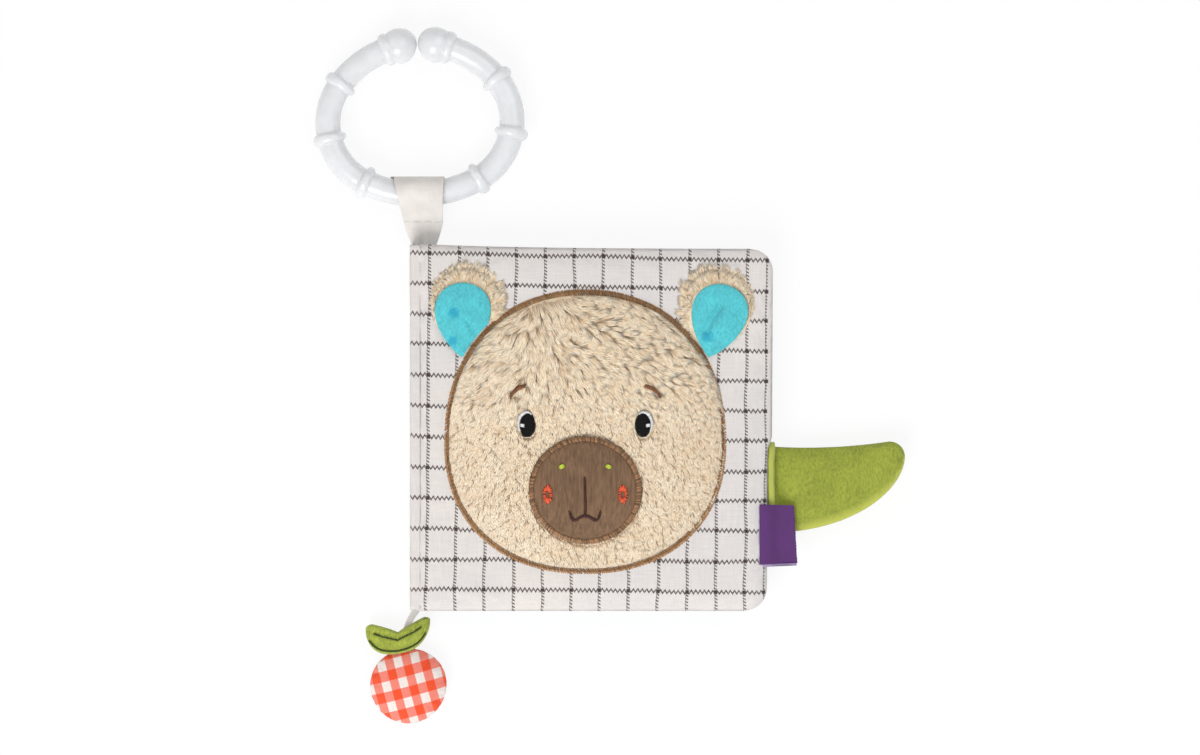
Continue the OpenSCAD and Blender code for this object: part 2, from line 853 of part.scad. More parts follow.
// Station of the loop's ribbon: its inner side and its outer side across the width, waved by pleats
function ribbon_station(y, z, out, half, pleat) =
    let (side = [for (k = [-6 : 6]) [loop_x + half * k / 6, y, z + pleat * cos(90 * k)]])
    concat(side, [for (k = [12 : -1 : 0]) side[k] + loop_t * [0, out[0], out[1]]]);

// Ribbon that leaves the book in pleats, goes round the ring's bar and comes back on itself
module ring_loop() {
    root_z = cover_t * 0.55;
    stitch_z = (ring_z + root_z) / 2;
    back = atan2(ring_z - stitch_z, loop_y - stitch_y);
    wrap = acos(loop_r / norm([loop_y - stitch_y, ring_z - stitch_z]));
    start = 180 + back + wrap;
    turn = 360 - 2 * wrap;
    widening = (loop_w - loop_stitch_w) / (loop_y + loop_r - stitch_y);
    gathered = function (s, layer) ribbon_station(
        stitch_y + (half_h - stitch_y) * s,
        stitch_z + (root_z - stitch_z) * s + layer * seat_gap / 2,
        [0, layer],
        (loop_stitch_w + (loop_root_w - loop_stitch_w) * pow(s, 1.3)) / 2,
        pleat_h * s
    );
    color("gainsboro")
        loft([
            for (s = [1, 0.65, 0.3, 0]) gathered(s, -1),
            for (k = [0 : 14])
                let (a = start + turn * k / 14, y = loop_y + loop_r * cos(a))
                ribbon_station(
                    y, ring_z + loop_r * sin(a), [cos(a), sin(a)],
                    (loop_stitch_w + widening * (y - stitch_y)) / 2, 0
                ),
            for (s = [0, 0.3, 0.65, 1]) gathered(s, 1)
        ], ribbon = true);
}

// Narrow ribbon from the book's lower corner to the fruit's seam
module pendant_ribbon() {
    inside = 1.4;
    slack = 1.6;
    from = [spine_in + inside, -half_h, cover_t / 2];
    end_angle = 98;
    to = [
        fruit_x + (fruit_r + seat_gap) * cos(end_angle),
        fruit_y + (fruit_r + seat_gap) * sin(end_angle), fruit_t / 2
    ];
    color("gainsboro")
        loft([
            for (s = [0 : 0.2 : 1.01])
                let (p = from + (to - from) * s - [slack * sin(180 * s), 0, 0])
                [
                    p + [cord_w / 2, 0, -cord_t / 2], p + [-cord_w / 2, 0, -cord_t / 2],
                    p + [-cord_w / 2, 0, cord_t / 2], p + [cord_w / 2, 0, cord_t / 2]
                ]
        ]);
}

// Stuffed disc that is fullest in its middle and has a seam round its edge
module pendant_fruit() {
    rim = [for (k = [0 : 12]) fruit_r * sin(90 * k / 12)];
    color("coral")
        translate([fruit_x, fruit_y, fruit_t / 2])
            rotate_extrude()
                polygon(concat(
                    [for (r = rim) [r, -fruit_half(r)]],
                    [for (k = [11 : -1 : 0]) [rim[k], fruit_half(rim[k])]]
                ));
}

// Upper edge of the leaf's two lobes: it rises from the notch and rounds over at each tip
function leaf_upper(s) =
    let (full = 0.8, tip_drop = 1.5)
    leaf_depth + leaf_lift * pow(min(1, abs(s) / full), 0.8)
        - tip_drop * (1 - sqrt(1 - pow(max(0, abs(s) - full) / (1 - full), 2)));

// Lower edge of the leaf: one full curve from tip to tip
function leaf_lower(s) = leaf_upper(1) * (1 - sqrt(max(0, 1 - pow(abs(s), 2.6))));

// Point of the leaf; s runs from tip to tip, across runs from the lower to the upper edge
function leaf_point(s, across) = [
    fruit_x - leaf_left + s * leaf_span / 2,
    leaf_y + s * leaf_tilt / 2 + leaf_lower(s) + (leaf_upper(s) - leaf_lower(s)) * (across + 1) / 2
];

module pendant_leaf() {
    steps = [-0.995, -0.96, -0.88, -0.75, -0.55, -0.3, -0.1, 0.1, 0.3, 0.55, 0.75, 0.88, 0.96, 0.995];
    section = function (s) concat(
        [for (a = [-0.95, -0.4, 0.4, 0.95]) concat(leaf_point(s, a), [0])],
        [for (a = [1, 0.6, -0.6, -1]) concat(leaf_point(s, a), [leaf_t * (1.2 - 0.4 * abs(a))])]
    );
    color("olivedrab")
        loft([for (s = steps) [for (p = section(s)) [p[0], p[1], p[2] + leaf_surface(p[0], p[1])]]]);
}

// Outline stitches: one row near the lower edge, and one along the middle of the lobes
module leaf_stitching() {
    top = function (x, y) leaf_surface(x, y) + leaf_t;
    thread_t = 0.4;
    rows = [[-0.6, 0.84], [0.2, 0.78]];
    color("darkolivegreen")
        for (row = rows)
            stitch_row(
                [for (k = [0 : 14]) leaf_point(row[1] * (k / 7 - 1), row[0])],
                function (s) leaf_stitch_w / 2, top, thread_t
            );
}

back_cover();
spine_lower();
pages();
spine_upper();
front_cover();
head_pad();
head_border();
ear_left_back();
ear_left_lining();
ear_right_back();
ear_right_lining();
muzzle();
muzzle_border();
eye_left();
eye_right();
eye_left_white();
eye_right_white();
brow_left();
brow_right();
nostril_left();
nostril_right();
cheek_left();
cheek_right();
mouth_stitch();
side_label();
tab_leaf();
ring_loop();
clip_ring();
pendant_ribbon();
pendant_fruit();
pendant_leaf();
leaf_stitching();
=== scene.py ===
"""Looks of a baby's cloth book: woven covers, plush bear head, clip ring, leaf tab, label and fruit pendant.

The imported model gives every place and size. Each operator makes one piece, or one group of like pieces,
as surfaces worked out with numpy, and puts it on the body that carries it. All lengths are in metres.
"""

import bpy
import numpy as np
from bpy.props import FloatProperty, FloatVectorProperty, IntProperty, PointerProperty
from bpy.types import Operator, Panel, PropertyGroup
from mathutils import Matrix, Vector


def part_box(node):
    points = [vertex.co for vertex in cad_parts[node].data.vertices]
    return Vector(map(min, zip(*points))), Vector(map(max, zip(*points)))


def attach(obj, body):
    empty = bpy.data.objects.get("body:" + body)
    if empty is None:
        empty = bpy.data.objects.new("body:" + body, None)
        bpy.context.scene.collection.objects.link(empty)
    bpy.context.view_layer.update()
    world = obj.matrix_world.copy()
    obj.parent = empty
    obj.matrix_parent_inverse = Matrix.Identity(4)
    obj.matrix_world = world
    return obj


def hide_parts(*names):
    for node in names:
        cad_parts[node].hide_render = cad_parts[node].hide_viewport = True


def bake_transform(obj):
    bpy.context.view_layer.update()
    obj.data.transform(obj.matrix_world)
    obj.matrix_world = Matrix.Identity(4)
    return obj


bl_info = {
    "name": "Cloth Book",
    "version": (1, 0, 0),
    "blender": (4, 5, 0),
    "location": "View3D > Sidebar > Cloth Book",
    "description": "Builds the looks of a baby's cloth book round its packed frame",
    "category": "Object",
}

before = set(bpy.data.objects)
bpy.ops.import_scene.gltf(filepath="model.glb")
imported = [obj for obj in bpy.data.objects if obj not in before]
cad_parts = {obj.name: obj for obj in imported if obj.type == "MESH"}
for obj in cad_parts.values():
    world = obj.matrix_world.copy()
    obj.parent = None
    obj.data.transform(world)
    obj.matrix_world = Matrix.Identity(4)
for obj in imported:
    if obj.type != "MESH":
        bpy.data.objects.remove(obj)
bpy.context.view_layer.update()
MM = 0.001


def node_box(name):
    """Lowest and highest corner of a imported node, as arrays."""
    low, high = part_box(name)
    return np.array(low), np.array(high)


def node_oval(name):
    """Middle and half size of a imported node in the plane."""
    low, high = node_box(name)
    return (low + high)[:2] / 2, (high - low)[:2] / 2


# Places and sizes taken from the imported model
COVER_LOW, COVER_HIGH = node_box("front_cover")
BACK_LOW, _ = node_box("back_cover")
PAGES_LOW, PAGES_HIGH = node_box("pages")
SPINE_LOW, SPINE_HIGH = node_box("spine_lower")
COVER_TOP = COVER_HIGH[2]
MIDDLE_Z = COVER_TOP / 2
HEAD_LOW, HEAD_HIGH = node_box("head_border")
HEAD_MIDDLE, HEAD_HALF = node_oval("head_border")
MUZZLE_MIDDLE, MUZZLE_HALF = node_oval("muzzle_border")
FRUIT_LOW, FRUIT_HIGH = node_box("pendant_fruit")
FRUIT_MIDDLE = (FRUIT_LOW + FRUIT_HIGH) / 2
FRUIT_R = (FRUIT_HIGH - FRUIT_LOW)[0] / 2

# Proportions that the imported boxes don't give
CORNER_R = 9 * MM
SPINE_CORNER_R = 2 * MM
FORE_EDGE_SLANT = 2.4 * MM
HEAD_SQUARE = 2.2
HEAD_TAPER = 0.05
HEAD_RIM = 2 * MM
HEAD_CROWN = 8 * MM
HEAD_STITCH = 1.9 * MM
MUZZLE_STITCH = 2.3 * MM
MUZZLE_RISE = 2.8 * MM
SEAT = 0.1 * MM
CHECK_FIRST_X, CHECK_FIRST_Y, CHECK_EDGE = 3.9 * MM, -4.3 * MM, 67.4 * MM
ZIGZAG_PERIOD, ZIGZAG_REACH, ZIGZAG_HALF = 1.7 * MM, 0.66 * MM, 0.34 * MM
HOOK_PERIOD, HOOK_REACH, ROW_REACH = 1.3 * MM, 0.5 * MM, 0.25 * MM
FUR_LIMIT, FUR_OVERHANG = 0.966, 0.05
HEAD_STITCHES, MUZZLE_STITCHES, FRINGE_TUFTS = 520, 220, 1500
BORDER_THREAD, CHEEK_THREAD = 0.56 * MM, 0.6 * MM
EYE_LIGHT_ARC = np.radians(np.linspace(66, 206, 34))
EAR_LENGTH, EAR_WIDTH, EAR_RIM, EAR_FUR = 29.6 * MM, 23.4 * MM, 2.4 * MM, 5.6 * MM
EAR_SEATS = {-1: np.radians(151), 1: np.radians(29)}
MOUTH_WIDTH, MOUTH_DROP, NOSE_LINE = 11.8 * MM, 9.8 * MM, 14.6 * MM
TAB_THICK = 2.7 * MM
RING_LENGTH, RING_WIDTH, RING_BAR, RING_BALL = 71.8 * MM, 58.6 * MM, 9.7 * MM, 13.8 * MM
RING_TURNS = np.radians([18.0, 52.0, 102.0, 153.0])
RING_CENTRE = np.array([-66.9, 120.3, 6.9]) * MM
RING_TILT = np.radians(2.0)
LOOP_R, LOOP_THICK = 5.81 * MM, 0.55 * MM
LOOP_AT_BOOK, LOOP_AT_STITCH, LOOP_AT_RING = 9.3, 15.1, 19.9
LEAF_MIDDLE = np.array([-75.6, -88.2]) * MM
LEAF_REACH, LEAF_SLOPE = 12.6 * MM, 1.7 * MM
FLOOR_HALF = 3.0
VIEW_MIDDLE = (3.29 * MM, 19.5 * MM)
LIT_POINT = (0.0, 0.02, 0.01)
UP = np.array([0.0, 0.0, 1.0])


def srgb(red, green, blue):
    """Colour written as screen values from 0 to 255, turned into linear light."""
    screen = np.array([red, green, blue]) / 255
    linear = np.where(screen > 0.04045, ((screen + 0.055) / 1.055) ** 2.4, screen / 12.92)
    return tuple(float(v) for v in linear)


def size(label, about, default):
    """Property for a length."""
    return FloatProperty(name=label, description=about, default=default, min=0.0, unit="LENGTH", precision=5)


def colour(label, about, default):
    """Property for a colour."""
    return FloatVectorProperty(
        name=label, description=about, default=default, size=3, subtype="COLOR", min=0.0, max=1.0
    )


def share(label, about, default):
    """Property for a share from 0 to 1."""
    return FloatProperty(name=label, description=about, default=default, min=0.0, max=1.0, subtype="FACTOR")


class ClothBookCovers(PropertyGroup):
    """Covers, pages and spine"""

    cloth: colour("Cloth", "Colour of the covers' woven cotton", srgb(232, 227, 224))
    check: colour("Check", "Colour of the threads that make the windowpane check", srgb(64, 48, 44))
    check_x: size("Check width", "Distance between the check's upright lines", 11.2 * MM)
    check_y: size("Check height", "Distance between the check's level lines", 11.75 * MM)
    weave: size("Weave", "Distance between the cloth's threads", 0.3 * MM)
    pages: colour("Pages", "Colour of the pages' cloth", srgb(176, 208, 226))
    pucker: size("Pucker", "How far the padding may push the cloth out", 0.8 * MM)


class ClothBookHead(PropertyGroup):
    """Plush head and ears"""

    fur_tip: colour("Fur tips", "Colour of the fur's tips", srgb(255, 242, 218))
    # The roots' colour is darker than the tips': painted shade deep in the pile.
    fur_root_shade: colour("Fur roots", "Colour of the fur near the cloth", srgb(226, 190, 144))
    fur_length: size("Fur length", "Length of the longest locks", 8.4 * MM)
    tuft_width: size("Tuft width", "Width of one tuft of fur", 0.36 * MM)
    tuft_spacing: size("Tuft spacing", "Distance between neighbouring tufts", 0.37 * MM)
    lock_spacing: size("Lock spacing", "Distance between the locks that tufts gather into", 2.0 * MM)
    fur_depth: size("Fur depth", "Height of the fur above its cloth", 0.75 * MM)
    seed: IntProperty(name="Seed", description="Start of the random draws for the fur", default=7)
    border: colour("Border", "Colour of the satin stitch round the head", srgb(166, 124, 82))
    lining: colour("Ear lining", "Colour of the ears' velour lining", srgb(84, 196, 206))
    spots: colour("Ear spots", "Colour of the spots on the lining", srgb(28, 160, 190))


class ClothBookFace(PropertyGroup):
    """Muzzle and embroidery"""

    velour: colour("Velour", "Colour of the muzzle's velour", srgb(120, 92, 68))
    border: colour("Border", "Colour of the satin stitch round the muzzle", srgb(148, 110, 78))
    thread: size("Thread", "Width of an embroidery thread", 0.38 * MM)
    black: colour("Eyes", "Colour of the eyes' black thread", srgb(12, 11, 13))
    white: colour("Eye light", "Colour of the white thread beside the eyes", srgb(240, 238, 236))
    brow: colour("Brows", "Colour of the brows' thread", srgb(128, 84, 54))
    nostril: colour("Nostrils", "Colour of the nostrils' thread", srgb(186, 206, 64))
    cheek: colour("Cheeks", "Colour of the cheeks' thread", srgb(224, 92, 60))
    mouth: colour("Mouth", "Colour of the mouth's thread", srgb(70, 40, 34))


class ClothBookTrim(PropertyGroup):
    """Leaf tab, label, ring, ribbon and pendant"""

    tab: colour("Leaf tab", "Colour of the leaf tab's velour", srgb(150, 160, 58))
    strip: colour("Tab strip", "Colour of the folded strip at the tab's root", srgb(184, 192, 86))
    label: colour("Label", "Colour of the side label", srgb(86, 28, 110))
    label_edge: colour("Label edge", "Colour of the label's frayed edge", srgb(178, 158, 200))
    plastic: colour("Ring", "Colour of the ring's plastic", srgb(229, 230, 232))
    ribbon: colour("Ribbon", "Colour of the ribbons", srgb(236, 230, 224))
    fruit_deep: colour("Gingham", "Full colour of the fruit's gingham", srgb(246, 78, 28))
    fruit_pale: colour("Gingham ground", "Pale colour of the fruit's gingham", srgb(244, 232, 226))
    fruit_cell: size("Gingham cell", "Width of one cell of the gingham", 3.37 * MM)
    leaf: colour("Leaf", "Colour of the pendant's leaf", srgb(160, 172, 66))
    leaf_thread: colour("Leaf thread", "Colour of the leaf's stitching", srgb(58, 76, 34))


class ClothBookStage(PropertyGroup):
    """Camera, lights and floor"""

    photo_width: size("View width", "Width of what the camera sees at the cover", 464.4 * MM)
    lens: FloatProperty(name="Lens", description="Focal length in millimetres", default=100.0, min=20.0)
    floor: colour("Floor", "Colour of the floor", srgb(250, 250, 250))
    key_power: FloatProperty(name="Key light", description="Power of the main lamp in watts", default=16.0)
    fill_power: FloatProperty(name="Fill light", description="Power of the fill lamp in watts", default=6.2)
    world: share("Ambient", "Strength of the light from all sides", 0.5)


GROUPS = (ClothBookCovers, ClothBookHead, ClothBookFace, ClothBookTrim, ClothBookStage)


# Numbers and shapes


def unit(vectors):
    """Each vector divided by its length."""
    return vectors / np.maximum(np.linalg.norm(vectors, axis=-1, keepdims=True), 1e-12)


def signed_power(value, power):
    """Power of the size of a value, with the value's sign kept."""
    return np.sign(value) * np.abs(value) ** power


def crown(t):
    """Height of padding: (1 - t^2.6)^0.7, which is 1 in the middle and 0 at the edge."""
    return np.clip(1 - np.clip(t, 0, 1) ** 2.6, 0, 1) ** 0.7


def waves(x, y, length, seed, count=7):
    """Smooth random field of about -1 to 1: the sum of plane waves near the given length, each with its
    own direction and phase, divided by the square root of half their number."""
    rng = np.random.default_rng(seed)
    angle, phase = rng.uniform(0, 2 * np.pi, (2, count))
    rate = 2 * np.pi / (length * rng.uniform(0.7, 1.5, count))
    along = np.asarray(x)[..., None] * np.cos(angle) + np.asarray(y)[..., None] * np.sin(angle)
    return np.sin(along * rate + phase).sum(-1) / np.sqrt(count / 2) / 1.6


def full_turn(count):
    """Angles evenly round a circle."""
    return np.linspace(0, 2 * np.pi, count, endpoint=False)


def heading(angle):
    """Unit vectors in the plane in given directions."""
    return np.stack([np.cos(angle), np.sin(angle)], -1)


def smoothed(line, times):
    """Line whose inner points move to (before + 2 here + after) / 4, a number of times."""
    for _ in range(times):
        line[1:-1] = (line[:-2] + 2 * line[1:-1] + line[2:]) / 4
    return line


def sampled(line, stations, at):
    """Points of a line in a plane at some distances along it, given the distances of its own points."""
    return np.stack([np.interp(at, stations, line[:, k]) for k in (0, 1)], -1)


def run_along(line):
    """Distance from the start of a line to each of its points."""
    return np.concatenate([[0], np.cumsum(np.linalg.norm(np.diff(line, axis=0), axis=1))])


def polar(outline, middle):
    """Distance of an outline from its middle, as a function of the direction."""
    offset = outline - middle
    turn = np.arctan2(offset[:, 1], offset[:, 0])
    order = np.argsort(turn)
    radius = np.linalg.norm(offset, axis=1)[order]
    return lambda angle: np.interp(angle, turn[order], radius, period=2 * np.pi)


def turned(x, y, centre, angle):
    """Points turned about a centre."""
    dx, dy = x - centre[0], y - centre[1]
    c, s = np.cos(angle), np.sin(angle)
    return centre[0] + dx * c - dy * s, centre[1] + dx * s + dy * c


def head_outline(angle, t=1.0, inset=0.0):
    """Point of the head's outline: cos and sin to the power 2/2.2, times t, the width tapering upwards."""
    v = signed_power(np.sin(angle), 2 / HEAD_SQUARE) * t
    u = signed_power(np.cos(angle), 2 / HEAD_SQUARE) * t * (1 - HEAD_TAPER * v)
    return HEAD_MIDDLE[0] + (HEAD_HALF[0] - inset) * u, HEAD_MIDDLE[1] + (HEAD_HALF[1] - inset) * v


def head_share(x, y, inset=0.0):
    """Share of the head's size at which a point lies: the outline's formula turned round."""
    v = (y - HEAD_MIDDLE[1]) / (HEAD_HALF[1] - inset)
    u = (x - HEAD_MIDDLE[0]) / (HEAD_HALF[0] - inset) / (1 - HEAD_TAPER * v)
    return (np.abs(u) ** HEAD_SQUARE + np.abs(v) ** HEAD_SQUARE) ** (1 / HEAD_SQUARE)


def head_height(x, y):
    """Top of the plush: the cover's top, a low rim that falls away outside the outline, and the crown."""
    t = head_share(x, y, HEAD_STITCH + SEAT)
    rim = np.clip((1.05 - t) / 0.06, 0, 1) ** 0.6
    return COVER_TOP + HEAD_RIM * rim + HEAD_CROWN * crown(t)


def muzzle_share(x, y, grow=0.0):
    """Share of the muzzle's size at which a point lies, with the stitch round it left out."""
    a, b = MUZZLE_HALF - MUZZLE_STITCH + grow
    return np.hypot((x - MUZZLE_MIDDLE[0]) / a, (y - MUZZLE_MIDDLE[1]) / b)


def muzzle_height(x, y):
    """Surface of the muzzle: the plush, and its own padding with a dip along the line below the nose."""
    dx = x - MUZZLE_MIDDLE[0]
    dy = y - MUZZLE_MIDDLE[1]
    dip = np.exp(-((dx / (1.3 * MM)) ** 2)) * np.clip(1 - np.abs(dy + 3 * MM) / (11 * MM), 0, 1)
    rise = (MUZZLE_RISE - MM) * crown(muzzle_share(x, y))
    return head_height(x, y) + SEAT + MM + rise - 0.45 * MM * dip


def quads(index):
    """Faces between the neighbours of a grid of point numbers."""
    corners = [index[:-1, :-1], index[:-1, 1:], index[1:, 1:], index[1:, :-1]]
    return np.stack(corners, -1).reshape(-1, 4)


def lofted(rings):
    """Closed skin through rings of equal length: quads between neighbours and a fan over each end."""
    m, n = rings.shape[:2]
    points = np.concatenate([rings.reshape(-1, 3), [rings[0].mean(0), rings[-1].mean(0)]])
    index = np.arange(m * n).reshape(m, n)
    walls = quads(np.hstack([index, index[:, :1]]))
    here, after = np.arange(n), (np.arange(n) + 1) % n
    first = np.stack([np.full(n, m * n), after, here], -1)
    last = np.stack([np.full(n, m * n + 1), (m - 1) * n + here, (m - 1) * n + after], -1)
    return points, [walls, np.concatenate([first, last])]


def pillow(x, y, top, bottom):
    """Closed skin of two sheets over one grid, which share the points of their common edge."""
    rows, columns = x.shape
    upper = np.arange(rows * columns).reshape(rows, columns)
    lower = upper.copy()
    inner = (rows - 2) * (columns - 2)
    lower[1:-1, 1:-1] = rows * columns + np.arange(inner).reshape(rows - 2, columns - 2)
    above = np.stack([x, y, top], -1).reshape(-1, 3)
    below = np.stack([x, y, bottom], -1)[1:-1, 1:-1].reshape(-1, 3)
    return np.concatenate([above, below]), [quads(upper), quads(lower)[:, ::-1]]


def sheet_skin(centre, offset, uv):
    """Closed skin of a sheet, whose middle grid moves both ways by the offset, and the place of each of
    its points on the cloth."""
    rings = np.concatenate([centre + offset, (centre - offset)[:, ::-1]], 1)
    uv = np.concatenate([uv, uv[:, ::-1]], 1).reshape(-1, 2)
    return lofted(rings), np.concatenate([uv, uv[:1], uv[-1:]])


def swept(paths, half_width, half_height, sides=4):
    """Closed threads, one along each row of paths (n, m, 3): at each point a ring of a few corners, level
    across the thread and thinner towards both ends."""
    n, m = paths.shape[:2]
    along = unit(np.gradient(paths, axis=1))
    across = unit(np.cross(UP, along))
    above = np.cross(along, across)
    end = 1 - 0.45 * np.abs(np.linspace(-1, 1, m)) ** 5
    angle = 2 * np.pi * (np.arange(sides) + 0.5) / sides
    shape = across[:, :, None] * np.cos(angle)[:, None] * half_width
    shape = shape + above[:, :, None] * np.sin(angle)[:, None] * half_height
    points = paths[:, :, None] + shape * end[:, None, None]
    index = np.arange(m * sides).reshape(m, sides)
    walls = quads(np.hstack([index, index[:, :1]]))
    caps = np.array([index[0, ::-1], index[-1]]) if sides == 4 else np.zeros((0, 4), int)
    one = np.concatenate([walls, caps])
    faces = one[None] + (np.arange(n) * m * sides)[:, None, None]
    return points.reshape(-1, 3), [faces.reshape(-1, 4)], m * sides


def arched(start, end, ground, sink, rise, stations=5):
    """Lines that leave the ground at one point, arch over it and go back in at another: the height is
    rise times (1 - s^4), less the depth to which both ends are sunk times s^4."""
    t = np.linspace(0, 1, stations)
    flat = start[:, None] + (end - start)[:, None] * t[:, None]
    s = np.abs(2 * t - 1) ** 4
    z = ground(flat[..., 0], flat[..., 1]) + rise * (1 - s) - sink * s
    return np.concatenate([flat, z[..., None]], -1)


def tufts(root, middle, tip, across, width):
    """Closed spikes of fur: three corners at the root, three in the middle and one point at the tip."""
    n = len(root)
    half = across * (width / 2)[:, None]
    peak = UP * (width * 0.35)[:, None]
    low = np.stack([root - half, root + half, root + peak], 1)
    high = np.stack([middle - half, middle + half, middle + peak], 1)
    points = np.concatenate([low, high, tip[:, None]], 1).reshape(-1, 3)
    walls = np.array([[0, 1, 4, 3], [1, 2, 5, 4], [2, 0, 3, 5]])
    ends = np.array([[3, 4, 6], [4, 5, 6], [5, 3, 6], [2, 1, 0]])
    step = (np.arange(n) * 7)[:, None, None]
    return points, [(walls[None] + step).reshape(-1, 4), (ends[None] + step).reshape(-1, 3)]


def enclosed(points, faces):
    """Volume inside closed skins, negative if their faces point inwards."""
    total = 0.0
    for part in faces:
        for k in range(part.shape[1] - 2):
            a, b, c = points[part[:, 0]], points[part[:, k + 1]], points[part[:, k + 2]]
            total += (a * np.cross(b, c)).sum() / 6
    return total


def add_piece(name, shape, material, body=None, nodes=(), marks=None, uv=None):
    """New mesh object at the origin, its faces turned outwards, riding on a body and standing for nodes.
    shape is points and faces, or else rings to loft. marks are named values for each point, and uv is a
    place on the cloth for each point."""
    points, faces = shape if isinstance(shape, tuple) else lofted(np.array(shape))
    if enclosed(points, faces) < 0:
        faces = [part[:, ::-1] for part in faces]
    mesh = bpy.data.meshes.new(name)
    loops = np.concatenate([part.ravel() for part in faces]).astype(np.int32)
    counts = np.concatenate([np.full(len(part), part.shape[1]) for part in faces])
    starts = np.concatenate([[0], np.cumsum(counts)[:-1]]).astype(np.int32)
    mesh.vertices.add(len(points))
    mesh.vertices.foreach_set("co", points.astype(np.float32).ravel())
    mesh.loops.add(len(loops))
    mesh.loops.foreach_set("vertex_index", loops)
    mesh.polygons.add(len(counts))
    mesh.polygons.foreach_set("loop_start", starts)
    mesh.polygons.foreach_set("use_smooth", np.ones(len(counts), bool))
    for label, values in (marks or {}).items():
        mesh.attributes.new(label, "FLOAT", "POINT").data.foreach_set("value", values.astype(np.float32))
    if uv is not None:
        layer = mesh.uv_layers.new(name="Cloth")
        layer.data.foreach_set("uv", uv[loops].astype(np.float32).ravel())
    mesh.update(calc_edges=True)
    if mesh.validate():
        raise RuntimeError(f"{name} has faces that don't hold together")
    piece = bpy.data.objects.new(name, mesh)
    bpy.context.scene.collection.objects.link(piece)
    mesh.materials.append(material)
    if body:
        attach(piece, body)
    if nodes:
        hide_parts(*nodes)
    return piece


def add_threads(name, paths, thread, material, body, nodes=(), seed=1, flat=0.8, tones=None):
    """Piece made of threads along paths, each with a random tone of its own unless tones are given."""
    points, faces, each = swept(paths, thread / 2 * 1.25, thread / 2 * flat)
    tone = np.repeat(np.random.default_rng(seed).random(len(paths)) if tones is None else tones, each)
    add_piece(name, (points, faces), material, body, nodes, {"tone": tone})


def inflate(piece, pinned, pressure, cap, spare=0.02, frames=18, scale=10.0):
    """Cloth simulation with air inside and no gravity, at ten times the real size. The pinned points hold,
    the cloth is a little larger than its frame, and no point moves further than cap."""
    start = np.zeros(len(piece.data.vertices) * 3, np.float32)
    piece.data.vertices.foreach_get("co", start)
    double = bpy.data.objects.new("inflating", piece.data.copy())
    double.data.vertices.foreach_set("co", start * scale)
    bpy.context.scene.collection.objects.link(double)
    double.vertex_groups.new(name="held").add([int(i) for i in pinned], 1.0, "REPLACE")
    cloth = double.modifiers.new("Cloth", "CLOTH")
    cloth.settings.quality = 6
    cloth.settings.vertex_group_mass = "held"
    cloth.settings.use_pressure = True
    cloth.settings.uniform_pressure_force = pressure
    cloth.settings.shrink_min = -spare
    cloth.settings.effector_weights.gravity = 0.0
    cloth.collision_settings.use_collision = False
    cloth.point_cache.frame_start = 1
    cloth.point_cache.frame_end = frames
    scene = bpy.context.scene
    for step in range(1, frames + 1):
        scene.frame_set(step)
    result = double.evaluated_get(bpy.context.evaluated_depsgraph_get())
    after = np.zeros(len(start), np.float32)
    result.data.vertices.foreach_get("co", after)
    bpy.data.objects.remove(double)
    scene.frame_set(1)
    move = (after / scale - start).reshape(-1, 3)
    length = np.linalg.norm(move, axis=1, keepdims=True)
    if not np.isfinite(length).all():
        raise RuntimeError(f"the padding of {piece.name} came apart")
    move *= cap * np.tanh(length / cap) / np.maximum(length, 1e-9)
    piece.data.vertices.foreach_set("co", start + move.astype(np.float32).ravel())
    piece.data.update()


# Shader graphs


